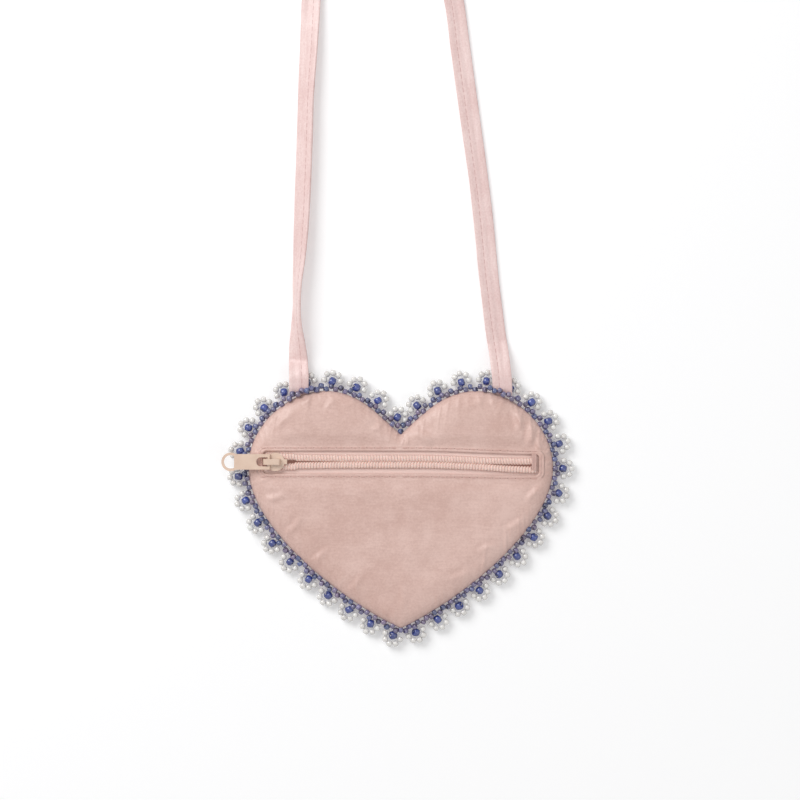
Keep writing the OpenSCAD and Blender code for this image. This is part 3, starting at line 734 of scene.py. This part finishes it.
def crease_height(x, y):
    """Soft ridges with a dip on one side, fading out at both ends."""
    total = np.zeros_like(x)
    for (ax, ay), (bx, by), width, height in CREASES:
        length = math.hypot(bx - ax, by - ay)
        ux, uy = (bx - ax) / length, (by - ay) / length
        along = ((x - ax) * ux + (y - ay) * uy) / length
        off = -(x - ax) * uy + (y - ay) * ux
        off = off + 0.7 * np.sin(along * 4.0 + ax)
        fade = smoothstep(np.clip(along / 0.35, 0, 1)) * smoothstep(np.clip((1 - along) / 0.45, 0, 1))
        ridge = np.exp(-(off / width) ** 2) - 0.55 * np.exp(-((off - 1.7 * width) / width) ** 2)
        total += CREASE_GAIN * height * fade * ridge
    return total


# Gathers: how far the seam pulls the cloth down, the spans of the room between two gathers, and those of
# their widths, heights, reaches inwards and leans
SEAM_PULL = (0.12, 4.0)
PUCKER_ROOM = (1.9, 4.2)
PUCKER_SPANS = ((0.4, 0.95), (0.10, 0.44), (2.5, 7.5), (-0.4, 0.4))


def pucker_height(s, run, seed):
    """Gathers along the seam: small folds that run inwards and fade with the distance run."""
    rng = np.random.default_rng(seed)
    total = -SEAM_PULL[0] * np.exp(-(run / SEAM_PULL[1]) ** 2)
    place = 0.0
    while place < SEAM.length:
        place += rng.uniform(*PUCKER_ROOM)
        width, height, reach, lean = (rng.uniform(*span) for span in PUCKER_SPANS)
        gap = s - place - lean * run
        gap = (gap + SEAM.length / 2) % SEAM.length - SEAM.length / 2
        total += height * np.exp(-(run / reach) ** 2 - (gap / width) ** 2) * smoothstep(run / 0.8)
    return total


def small_noise(x, y, size, height, seed):
    """Unevenness of a size and a height, the same at each place."""
    return np.array([height * noise.noise(Vector((a / size, b / size, seed))) for a, b in zip(x, y)])


def seam_distance(q):
    """Distance from each point to the seam's line."""
    a = SEAM.points[:-1]
    d = SEAM.points[1:] - a
    best = np.full(len(q), 1e9)
    batch = 12
    for start in range(0, len(a), batch):
        aa, dd = a[start:start + batch], d[start:start + batch]
        w = q[:, None] - aa[None]
        t = np.clip((w * dd).sum(-1) / np.maximum((dd * dd).sum(-1), 1e-12), 0, 1)
        best = np.minimum(best, np.linalg.norm(w - t[..., None] * dd, axis=-1).min(1))
    return best


TABLE_TOUCH = 0.004
MERGE_DIST = 0.02
# Rings over the rim, and from there to the window or the middle
RIM_RINGS = 12
FACE_RINGS = 44
# Where there is no window the rings close up on a place near the middle
MIDDLE_SHARE = 0.04
MIDDLE_Y = 2.0
# Where each kind of relief starts and the span over which it grows: by the distance from the seam, by how
# far apart the lines stand, and by the distance from the window
INSIDE_EASE = (0.3, 3.0)
CROWN_EASE = (1.5, 9.0)
CROWD_EASE = (0.35, 0.45)
FLAT_EASE = (2.0, 5.0)
PUCKER_EASE = (1.6, 2.0)
CREASE_EASE = (1.4, 1.5)
# The cloth's unevenness: size, height and step of the seed
UNEVEN = ((9.0, 0.3, 0), (3.4, 0.07, 5))


def padded_rings(depth, up, window, seed, crown):
    """Rings from the seam over the rim to the window, or to the middle where there is none."""
    s = SEAM.length * np.arange(ROUND) / ROUND
    p = SEAM.at(s)
    rise = PANEL_TOP - SEAM_Z - depth
    end = window_edge(p, window) if window else p * MIDDLE_SHARE + (0, MIDDLE_Y)
    inward = unit(end - p)
    # where the way inwards runs slanting from the seam, the rim takes more of it
    slant = RIM_W / 2 / np.maximum(seam_distance(p + inward * RIM_W / 2), 0.5)
    room = np.linalg.norm(end - p, axis=1) * 0.7
    reach = np.minimum(RIM_W * slant, room)[:, None]
    rings = [p + inward * reach * (1 - math.cos(a)) for a in np.radians(np.linspace(0, 90, RIM_RINGS))]
    start = rings[-1]
    rings += [start + (end - start) * k / FACE_RINGS for k in range(1, FACE_RINGS + 1)]
    out = []
    for k, q in enumerate(rings):
        run = seam_distance(q) if k else np.zeros(ROUND)
        x, y = q[:, 0], q[:, 1]
        tilt = np.clip(1 - run / RIM_W, 0, 1)
        z = SEAM_Z + up * rise * np.sqrt(1 - tilt**2)
        inside = ease(run, *INSIDE_EASE)
        # gathers flatten out where the lines that they follow crowd together
        crowd = np.linalg.norm(np.roll(q, -1, axis=0) - np.roll(q, 1, axis=0), axis=1)
        crowd = crowd / (2 * SEAM.length / ROUND)
        extra = pucker_height(s, run, seed) * ease(crowd, *CROWD_EASE)
        near = 1.0
        if window:
            # the cloth lies flat beside the window, where it is sewn down
            level = y - window_bend(x, y)
            off = np.maximum(np.abs(level - ZIP_Y) - WINDOW_HALF,
                             np.maximum(WINDOW_LEFT - x, x - WINDOW_RIGHT))
            near = ease(off, *FLAT_EASE)
            extra = extra * ease(off, *PUCKER_EASE)
        extra = extra + crown * ease(run, *CROWN_EASE) * near
        uneven = sum(small_noise(x, y, size, height, seed + step) for size, height, step in UNEVEN)
        extra = extra + inside * near * uneven
        if window:
            extra = extra + inside * ease(off, *CREASE_EASE) * crease_height(x, y)
        out.append(np.stack([x, y, z + up * extra], 1))
    return out


def panel(name, node, depth, thickness, up, window, seed, material, crown):
    """One cloth layer as a surface of rings, given its thickness by a modifier."""
    rings = padded_rings(depth, up, window, seed, crown)
    verts = np.vstack(rings)
    verts[:, 2] = np.maximum(verts[:, 2], TABLE_TOUCH)
    faces = ring_faces(len(rings), ROUND)
    if not window:
        centre = verts[-ROUND:].mean(0)
        verts = np.vstack([verts, centre])
        first = (len(rings) - 1) * ROUND
        faces += [(first + k, first + (k + 1) % ROUND, len(verts) - 1) for k in range(ROUND)]
    if up > 0:
        faces = [f[::-1] for f in faces]
    obj = mesh_object(name, verts, faces, "root", material)
    bm = bmesh.new()
    bm.from_mesh(obj.data)
    bmesh.ops.remove_doubles(bm, verts=bm.verts, dist=MERGE_DIST * MM)
    bm.to_mesh(obj.data)
    bm.free()
    obj.data.shade_smooth()
    if all(obj.data.polygons[k].normal.z * up < 0 for k in (0, len(obj.data.polygons) // 2)):
        obj.data.flip_normals()
    solid = obj.modifiers.new("thickness", "SOLIDIFY")
    solid.thickness = thickness * MM
    solid.offset = -1
    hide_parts(node)
    return obj


PANEL_GAP = 1.3
FLEECE_GAP = 2.2
SATIN_T = 0.28
FLEECE_T = 0.45
FLEECE_DEPTH = 0.32
CROWN = 0.75
back = panel("back_satin", "back_panel", 0.0, SATIN_T, 1, PANEL_GAP, 3, SATIN, CROWN)
panel("front_satin", "front_panel", 0.0, SATIN_T, -1, 0, 8, SATIN, 0.0)
panel("back_fleece", "back_wadding", FLEECE_DEPTH, FLEECE_T, 1, FLEECE_GAP, 3, WADDING, CROWN)


# Window: a folded satin welt on each side, in two halves

MID_X = 0.0
LIPS = ((1, "upper"), (-1, "lower"))
HALVES = ("left", "right")
WELT_STEP = 0.5
CORNER_PARTS = 8
WELT_LIFT = 0.05
WELT_WAVE = 0.18


def lip_piece(name, verts, faces, lip, half, material, slot, smooth=True):
    """A closed piece in one half of a lip."""
    obj = mesh_object(name, verts, faces, None, material, smooth)
    fix_normals(obj)
    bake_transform(obj)
    return obj


def window_path(side, half):
    """From the middle of a long side round a corner to the middle of the window's end."""
    r = WINDOW_R
    x_end = WINDOW_LEFT if half == "left" else WINDOW_RIGHT
    way = -1 if half == "left" else 1
    corner = (x_end - way * r, ZIP_Y + side * (WINDOW_HALF - r))
    points = [(x, ZIP_Y + side * WINDOW_HALF) for x in np.arange(MID_X, corner[0], way * WELT_STEP)]
    for k in range(CORNER_PARTS + 1):
        a = math.radians(90 * k / CORNER_PARTS)
        points.append((corner[0] + way * r * math.sin(a), corner[1] + side * r * math.cos(a)))
    points += [(x_end, y) for y in np.linspace(corner[1], ZIP_Y, 6)[1:]]
    p = np.array(points)
    d = unit(np.gradient(p, axis=0))
    out = np.stack([-d[:, 1], d[:, 0]], 1) * side * way
    return p, out


# Offset out from the window's edge and height over the satin, round the fold of the welt
WELT_PROFILE = (
    (2.2, -0.16), (1.85, -0.04), (1.55, 0.02), (1.35, 0.0), (1.2, -0.05), (1.05, 0.0), (0.85, 0.07),
    (0.55, 0.11), (0.25, 0.07), (0.06, -0.06), (0.0, -0.2), (0.06, -0.34),
    (0.3, -0.42), (1.0, -0.42), (1.6, -0.42),
)


def welt(side, lip, half):
    """The folded edge of the window, along half of one lip."""
    p, out = window_path(side, half)
    profile = np.array(WELT_PROFILE)
    count = len(profile)
    rings = []
    for q, n in zip(p, out):
        wave = 1 + WELT_WAVE * noise.noise(Vector((q[0] * 0.25, q[1] * 0.25, 4.0)))
        ring = np.zeros((count, 3))
        ring[:, :2] = q + n * profile[:, :1]
        ring[:, 1] += window_bend(q[0], q[1])
        ring[:, 2] = PANEL_TOP + WELT_LIFT + profile[:, 1] * wave
        rings.append(ring)
    faces = tube_faces(len(rings), count)
    lip_piece(f"welt_{lip}_{half}", np.vstack(rings), faces, lip, half, SATIN, "satin")


for side, lip in LIPS:
    for half in HALVES:
        welt(side, lip, half)


# Zip: tapes, helical coils and the cords in them, each in two halves

COIL_LEFT, COIL_RIGHT = (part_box("zip_coil_upper")[k].x / MM for k in (0, 1))
COIL_PITCH = 1.1
COIL_PHASES = {1: 0.25, -1: 0.75}
# The coil's reach out from the middle line and past it, the height of its middle over the tape, its rise
COIL_OUT = 2.5
COIL_PAST = 0.14
COIL_Z = 0.72
COIL_RISE = 0.36
COIL_SLANT = 0.12
TURN_STEPS = 22
WIRE_R = 0.4
HEAD_GROWTH = 0.05
CORD_OUT = 1.25
CORD_Z = 0.68
CORD_R = 0.44
CORD_SPREAD = 2.3
CORD_POINTS = 60
TAPE_PAST = 1.6
TAPE_POINTS = 90
TAPE_SEWN = 0.02
SEWN_FROM = 0.4
# The tape's section: out from the middle line, and up from its top, with a raised cord
TAPE_SECTION = ((1.0, 0.0), (2.4, 0.0), (2.75, 0.10), (3.1, 0.0), (5.5, 0.0), (5.5, -0.33), (1.0, -0.33))
# The rows part in a wedge behind the slider's nose and again towards the right end
NOSE_X = -39.0
MESHED_FROM = -20.5
APART_FROM = 31.0
WEDGE_GAP = 0.26
NOSE_GAP = 0.42
END_GAP = 0.42


def part_gap(x):
    """How far each row stands off the middle line."""
    x = np.asarray(x, float)
    wedge = WEDGE_GAP * np.clip((MESHED_FROM - x) / (MESHED_FROM - NOSE_X), 0, 1)
    behind_nose = NOSE_GAP * smoothstep((NOSE_X - x) / 0.8)
    at_end = END_GAP * np.clip((x - APART_FROM) / (COIL_RIGHT - APART_FROM), 0, 1) ** 0.8
    return wedge + behind_nose + at_end


def row_shift(x, side):
    """How far a row is moved up or down from its straight place."""
    return zip_bend(x) + side * part_gap(x)


def tube_rings(centre, radius, sides, spread=1.0):
    """Rings round a line, spread times as wide as high; radius may differ from point to point."""
    way = unit(np.gradient(centre, axis=0))
    across = unit(np.cross(way, (0, 0, 1)))
    other = np.cross(across, way)
    across = across * spread
    angle = 2 * np.pi * np.arange(sides) / sides
    ring = np.cos(angle)[None, :, None] * across[:, None] + np.sin(angle)[None, :, None] * other[:, None]
    radius = np.broadcast_to(radius, len(centre))
    return (centre[:, None] + ring * radius[:, None, None]).reshape(-1, 3)


def half_coil(side, lip, half):
    """A flattened helix whose heads reach past the middle line."""
    sides = 8
    shift = COIL_PHASES[side] * COIL_PITCH
    middle = round((MID_X - COIL_LEFT - shift) / COIL_PITCH)
    end = math.floor((COIL_RIGHT - COIL_LEFT - shift) / COIL_PITCH)
    first, last = (0, middle) if half == "left" else (middle, end)
    turn = np.arange(first * TURN_STEPS, last * TURN_STEPS + 1) / TURN_STEPS
    t = 2 * np.pi * turn
    x = COIL_LEFT + shift + turn * COIL_PITCH + COIL_SLANT * np.sin(2 * t)
    wide = (COIL_OUT + COIL_PAST) / 2 - WIRE_R
    # the strands run nearly straight across and turn sharply at both sides
    y = (COIL_OUT - COIL_PAST) / 2 + wide * np.sign(np.cos(t)) * np.abs(np.cos(t)) ** 0.8
    z = TAPE_TOP + COIL_Z + COIL_RISE * np.sin(t)
    head = smoothstep((0.35 - y) / 0.5)
    centre = np.stack([x, ZIP_Y + side * y + row_shift(x, side), z], 1)
    verts = tube_rings(centre, WIRE_R + HEAD_GROWTH * head, sides)
    return lip_piece(f"coil_{lip}_{half}", verts, tube_faces(len(centre), sides), lip, half, COIL, "zip_coil")


def half_cord(side, lip, half):
    """The cord that the coil is wound round."""
    sides = 10
    x = np.linspace(*((COIL_LEFT, MID_X) if half == "left" else (MID_X, COIL_RIGHT)), CORD_POINTS)
    y = ZIP_Y + side * CORD_OUT + row_shift(x, side)
    centre = np.stack([x, y, np.full(CORD_POINTS, TAPE_TOP + CORD_Z)], 1)
    verts = tube_rings(centre, CORD_R, sides, CORD_SPREAD)
    faces = tube_faces(CORD_POINTS, sides)
    return lip_piece(f"coil_cord_{lip}_{half}", verts, faces, lip, half, TAPE_CLOTH, "thread")


def half_tape(side, lip, half):
    """A woven strip with a raised cord; past the coil the two tapes are sewn edge to edge."""
    ends = (WINDOW_LEFT - TAPE_PAST, MID_X) if half == "left" else (MID_X, WINDOW_RIGHT + TAPE_PAST)
    verts = []
    for x in np.linspace(*ends, TAPE_POINTS):
        shift = row_shift(x, side) if x < COIL_RIGHT else zip_bend(x)
        for out, rise in TAPE_SECTION:
            if out <= TAPE_SECTION[0][0] and x >= COIL_RIGHT - SEWN_FROM:
                out = TAPE_SEWN
            verts.append((x, ZIP_Y + side * out + shift, TAPE_TOP + rise))
    faces = tube_faces(TAPE_POINTS, len(TAPE_SECTION))
    return lip_piece(f"tape_{lip}_{half}", verts, faces, lip, half, TAPE_CLOTH, "zip_cloth", smooth=False)


for side, lip in LIPS:
    for half in HALVES:
        pieces = half_coil(side, lip, half), half_cord(side, lip, half), half_tape(side, lip, half)
        if half == "left":
            for obj, node in zip(pieces, ("zip_coil", "coil_cord", "zip_tape")):
                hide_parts(f"{node}_{lip}")


# Stitching

STITCH_PITCH = 2.85
STITCH_L = 2.35
STITCH_OUT = 1.2
STITCH_R = 0.15
STITCH_POINTS = 9
STITCH_RISE = 0.13
STITCH_DIVE = 0.30
STITCH_SIDES = 7
CLOTH_LIFT = 0.02
END_STITCHES = (-2.9, 0.0, 2.9)
HOLE_W = 0.3
HOLE_SIDES = 8


def stitches(places):
    """Threads that come up out of the cloth and dip in again; places holds (x, y, direction)."""
    angle = 2 * np.pi * np.arange(STITCH_SIDES) / STITCH_SIDES
    half = (STITCH_POINTS - 1) / 2
    t = np.linspace(-1, 1, STITCH_POINTS)
    verts, faces = [], []
    for x, y, a in places:
        way = np.array([math.cos(a), math.sin(a)])
        line = np.zeros((STITCH_POINTS, 3))
        line[:, :2] = (x, y) + np.outer(t * STITCH_L / 2, way)
        line[:, 2] = PANEL_TOP + CLOTH_LIFT + STITCH_RISE - STITCH_DIVE * np.abs(t) ** 4
        d = unit(np.gradient(line, axis=0))
        across = np.array([-way[1], way[0], 0.0])
        other = np.cross(across, d)
        faces += tube_faces(STITCH_POINTS, STITCH_SIDES, len(verts))
        for k in range(STITCH_POINTS):
            r = STITCH_R * (1 - 0.35 * abs(k - half) / half)
            verts += [line[k] + r * (math.cos(b) * across + math.sin(b) * other[k]) for b in angle]
    return verts, faces


def needle_hole_shades(places):
    """Small dimples coloured as painted shade, where the thread dips between two stitches."""
    angle = 2 * np.pi * np.arange(HOLE_SIDES) / HOLE_SIDES
    verts, faces = [], []
    for x, y in places:
        faces += tube_faces(2, HOLE_SIDES, len(verts))
        for grow, lift in ((1.0, 0.0), (0.55, 0.035)):
            wide, high = HOLE_W * grow, HOLE_W * 0.7 * grow
            verts += [(x + wide * math.cos(b), y + high * math.sin(b), PANEL_TOP + CLOTH_LIFT + lift)
                      for b in angle]
    return verts, faces


def on_edge(x, y):
    """A place beside the window, moved as far as the window's edge is there."""
    return x, y + float(window_bend(x, y))


for side, lip in LIPS:
    y = ZIP_Y + side * (WINDOW_HALF + STITCH_OUT)
    for half in HALVES:
        xs = (np.arange(WINDOW_LEFT + 0.4, -1.0, STITCH_PITCH) if half == "left"
              else np.arange(1.6, WINDOW_RIGHT - 0.6, STITCH_PITCH))
        row = lip_piece(f"stitches_{lip}_{half}", *stitches([(*on_edge(x, y), 0.0) for x in xs]),
                        lip, half, THREAD, "thread")
        if (lip, half) == ("upper", "left"):
            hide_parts("zip_stitching")
        # each painted hole shade's y is that of the stitch before it
        hole_shades = [(x + STITCH_PITCH / 2, on_edge(x, y)[1]) for x in xs[:-1]]
        lip_piece(f"needle_hole_shades_{lip}_{half}", *needle_hole_shades(hole_shades), lip, half, HOLE_SHADE, "thread")
ends = [(*on_edge(x, ZIP_Y + dy), math.pi / 2)
        for x in (WINDOW_LEFT - STITCH_OUT * 0.6, WINDOW_RIGHT + STITCH_OUT * 0.6) for dy in END_STITCHES]
end_row = mesh_object("stitches_ends", *stitches(ends), "root", THREAD)
fix_normals(end_row)


# Beads

BEAD_ROUND = 12
BEAD_RING = 7
BORE_SHARE = 0.18


def bead_master(d, length):
    """A ring stretched along its bore, as a seed bead is."""
    bpy.ops.object.select_all(action="DESELECT")
    bore = BORE_SHARE * d
    thick = (d / 2 - bore) / 2
    bpy.ops.mesh.primitive_torus_add(
        major_radius=(bore + thick) * MM, minor_radius=thick * MM,
        major_segments=BEAD_ROUND, minor_segments=BEAD_RING)
    master = bpy.context.object
    bpy.ops.object.mode_set(mode="EDIT")
    bpy.ops.mesh.select_all(action="SELECT")
    bpy.ops.transform.resize(value=(1, 1, length / (2 * thick)))
    bpy.ops.object.mode_set(mode="OBJECT")
    verts = np.array([v.co[:] for v in master.data.vertices]) / MM
    faces = np.array([f.vertices[:] for f in master.data.polygons])
    mesh = master.data
    bpy.data.objects.remove(master)
    bpy.data.meshes.remove(mesh)
    return verts, faces


def bead_row(name, bead, places, tints, material, slot, *nodes_replaced):
    """Beads as one mesh: each place is (middle, direction of the bore, size)."""
    verts, faces = bead_master(*bead)
    count = len(verts)
    all_verts, all_faces, colours = [], [], []
    for k, ((middle, way, size), tint) in enumerate(zip(places, tints)):
        turn = Vector(way).to_track_quat("Z", "Y").to_matrix()
        all_verts.append(np.asarray(middle) + (verts * size) @ np.array(turn).T)
        all_faces.append(faces + k * count)
        colours.append(np.tile((*tint, 1.0), (count, 1)))
    obj = mesh_object(name, np.vstack(all_verts), np.vstack(all_faces).tolist(), "root", material)
    attribute = obj.data.color_attributes.new("bead_tint", "FLOAT_COLOR", "POINT")
    attribute.data.foreach_set("color", np.vstack(colours).ravel())
    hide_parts(*nodes_replaced)


EDGE_COUNT = 184
EDGE_AWAY = 0.75
# Each bead's diameter and length
EDGE_BEAD = (2.1, 1.6)
BLUE_BEAD = (3.1, 2.4)
CLEAR_BEAD = (2.3, 1.95)
EDGE_ZIGZAG = 0.5
EDGE_SIZES = (1.0, 1.16)
EDGE_SLOPE = 0.6
EDGE_TINTS = (srgb(92, 106, 158), srgb(142, 124, 156))
PICOT_COUNT = 37
PICOT_AWAY = 3.7
PICOT_Z = 2.2
PICOT_PHASE = -1.5
PICOT_R = 2.95
BLUE_INWARDS = 0.4
BLUE_LIFT = 0.2
BLUE_SIZES = (1.0, 1.1)
BLUE_TINTS = (srgb(50, 72, 156), srgb(38, 56, 132))
CLEAR_COUNT = 5
CLEAR_STEP = 46
CLEAR_SIZES = (0.98, 1.06)
CLEAR_TINTS = (srgb(254, 251, 247), srgb(244, 240, 236))
# How unevenly the beads sit: their turn, tip, place, height and tone
EDGE_TURN, EDGE_TIP, EDGE_OFF, EDGE_UP, EDGE_TONE = 0.38, 0.45, 0.14, 0.12, 0.16
BLUE_TURN, BLUE_TIP, BLUE_OFF, BLUE_TONE = 0.35, 0.3, 0.1, 0.08
CLEAR_TURN, CLEAR_OFF, CLEAR_UP, CLEAR_TONE = 0.08, 0.06, 0.05, 0.02
# Where the strap is sewn in, the edge beads ride over it: the lift, and half the widths that it takes
STRAP_LIFT = 2.25
LIFT_FLAT = 4.7
LIFT_OVER = 10.0

rng = np.random.default_rng(21)


def edge_lift(p):
    """How far the edge beads stand up at a place of the seam."""
    if p[1] < SIDE_Y:
        return 0.0
    beside = abs(abs(p[0]) - STRAP_X) - LIFT_FLAT
    return STRAP_LIFT * (1 - np.clip(beside / (LIFT_OVER - LIFT_FLAT), 0, 1))


def tint_between(a, b, spread):
    """A colour at a random place between two, a little lighter or darker."""
    t = rng.uniform()
    return tuple(np.clip((np.array(a) * t + np.array(b) * (1 - t)) * (1 + rng.normal(0, spread)), 0, 1))


edge_line = ClosedLine(outline(EDGE_AWAY))
edge_step = edge_line.length / EDGE_COUNT
places, tints = [], []
for k in range(EDGE_COUNT):
    s = k * edge_step
    p = edge_line.at(s)
    a = float(edge_line.facing(s, EDGE_BEAD[0] / 2))
    rise = edge_lift(edge_line.at(s + edge_step / 2)) - edge_lift(edge_line.at(s - edge_step / 2))
    r = math.atan2(rise, edge_step)
    turned = a + rng.normal(0, EDGE_TURN)
    tip = math.sin(r + rng.normal(0, EDGE_TIP))
    way = (math.cos(turned) * math.cos(r), math.sin(turned) * math.cos(r), tip)
    # the beads lean in and out by turns, as the thread pulls them on to the seam
    off = (EDGE_ZIGZAG if k % 2 else -EDGE_ZIGZAG) + rng.normal(0, EDGE_OFF)
    middle = (p[0] - off * math.sin(a), p[1] + off * math.cos(a),
              SEAM_Z + edge_lift(p) - EDGE_SLOPE * off + rng.normal(0, EDGE_UP))
    places.append((middle, way, rng.uniform(*EDGE_SIZES)))
    tints.append(tint_between(*EDGE_TINTS, EDGE_TONE))
bead_row("edge_beads", EDGE_BEAD, places, tints, DUSKY_GLASS, "dusky_glass",
         "edge_beads_left", "edge_beads_right")

picot_line = ClosedLine(outline(PICOT_AWAY))
blue_places, blue_tints, clear_places, clear_tints = [], [], [], []
for k in range(PICOT_COUNT):
    s = PICOT_PHASE + k * picot_line.length / PICOT_COUNT
    p = picot_line.at(s)
    a = float(picot_line.facing(s, PICOT_R))
    b = a + rng.normal(0, BLUE_TURN)
    tip_up = rng.normal(0, BLUE_TIP)
    sink = BLUE_INWARDS + rng.normal(0, BLUE_OFF)
    middle = (p[0] + sink * math.sin(a), p[1] - sink * math.cos(a), PICOT_Z + BLUE_LIFT)
    way = (math.cos(b), math.sin(b), math.sin(tip_up))
    blue_places.append((middle, way, rng.uniform(*BLUE_SIZES)))
    blue_tints.append(tint_between(*BLUE_TINTS, BLUE_TONE))
    for j in range(CLEAR_COUNT):
        c = a + math.radians((j - (CLEAR_COUNT - 1) / 2) * CLEAR_STEP)
        out = PICOT_R + rng.normal(0, CLEAR_OFF)
        middle = (p[0] - out * math.sin(c), p[1] + out * math.cos(c), PICOT_Z + rng.normal(0, CLEAR_UP))
        d = c + rng.normal(0, CLEAR_TURN)
        clear_places.append((middle, (math.cos(d), math.sin(d), 0), rng.uniform(*CLEAR_SIZES)))
        clear_tints.append(tint_between(*CLEAR_TINTS, CLEAR_TONE))
bead_row("blue_beads", BLUE_BEAD, blue_places, blue_tints, BLUE_GLASS, "blue_glass",
         "picot_blue_left", "picot_blue_right")
bead_row("clear_beads", CLEAR_BEAD, clear_places, clear_tints, CLEAR_GLASS, "clear_glass",
         "picot_clear_left", "picot_clear_right")


# Finish of the nodes that are shown as they were packed

def dress(node, material, bevel=0.0):
    """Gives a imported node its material, and soft edges where a bevel is given in millimetres."""
    obj = nodes[node]
    obj.data.materials.clear()
    obj.data.materials.append(material)
    if bevel:
        mod = obj.modifiers.new("soft edges", "BEVEL")
        mod.width = bevel * MM
        mod.segments = 3
        mod.limit_method = "ANGLE"
        mod.angle_limit = math.radians(40)


dress("slider_body", ENAMEL, 0.16)
dress("slider_crown", ENAMEL, 0.18)
dress("slider_pull", ENAMEL, 0.24)
dress("lock_pawl", STEEL)
dress("end_bar_tack", THREAD, 0.1)
dress("edge_thread", DUSKY_THREAD)
dress("picot_threads", WHITE_THREAD)
dress("front_wadding", WADDING)
for node in ("front_lining", "back_lining"):
    dress(node, LINING)


# Floor, world and lamps

def white_only_to_camera(tree, shown, lit):
    """White where the camera, a mirror or a clear bead sees it, and lit where it lights."""
    path = tree.nodes.new("ShaderNodeLightPath")
    total = path.outputs["Is Camera Ray"]
    for ray in ("Is Glossy Ray", "Is Transmission Ray"):
        total = math_node(tree, "MAXIMUM", total, path.outputs[ray])
    mix = tree.nodes.new("ShaderNodeMixShader")
    link(tree, total, mix.inputs["Fac"])
    link(tree, lit, mix.inputs[1])
    link(tree, shown, mix.inputs[2])
    return mix.outputs[0]


WHITE = (1, 1, 1)
SOFT_LIGHT = 0.36
FLOOR_HALF = 1.6
FLOOR_DROP = 0.00015
FLOOR_COLOUR = (0.9, 0.9, 0.905)
FLOOR_GLOW = 0.2
LAMP_AIM = Vector((0, 0.02, 0))


def build_world():
    world = bpy.data.worlds.new("studio")
    world.use_nodes = True
    tree = world.node_tree
    soft = tree.nodes["Background"]
    set_inputs(soft, {"Color": WHITE, "Strength": SOFT_LIGHT})
    white = tree.nodes.new("ShaderNodeBackground")
    set_inputs(white, {"Color": WHITE, "Strength": 1.0})
    result = white_only_to_camera(tree, white.outputs[0], soft.outputs[0])
    link(tree, result, tree.nodes["World Output"].inputs["Surface"])
    scene.world = world


def build_floor():
    mesh = bpy.data.meshes.new("floor")
    h = FLOOR_HALF
    mesh.from_pydata([(-h, -h, 0), (h, -h, 0), (h, h, 0), (-h, h, 0)], [], [(0, 1, 2, 3)])
    floor = add_object("floor", mesh, None)
    floor.location.z = -FLOOR_DROP
    mat, tree, bsdf = new_material("white floor")
    set_inputs(bsdf, {"Base Color": FLOOR_COLOUR, "Roughness": 0.9, "Specular IOR Level": 0.0,
                      "Emission Color": WHITE, "Emission Strength": FLOOR_GLOW})
    mesh.materials.append(mat)


def area_lamp(name, location, size, power):
    """A round lamp that looks at the heart."""
    data = bpy.data.lights.new(name, "AREA")
    data.shape = "DISK"
    data.size = size
    data.energy = power
    lamp = add_object(name, data, None)
    lamp.location = location
    lamp.rotation_euler = (LAMP_AIM - Vector(location)).to_track_quat("-Z", "Y").to_euler()


build_world()
build_floor()
area_lamp("key", (-0.75, 0.75, 0.95), 0.9, 12.0)
area_lamp("fill", (0.9, -0.5, 0.9), 1.0, 2.6)
area_lamp("top", (0.0, 0.1, 1.4), 0.9, 1.8)
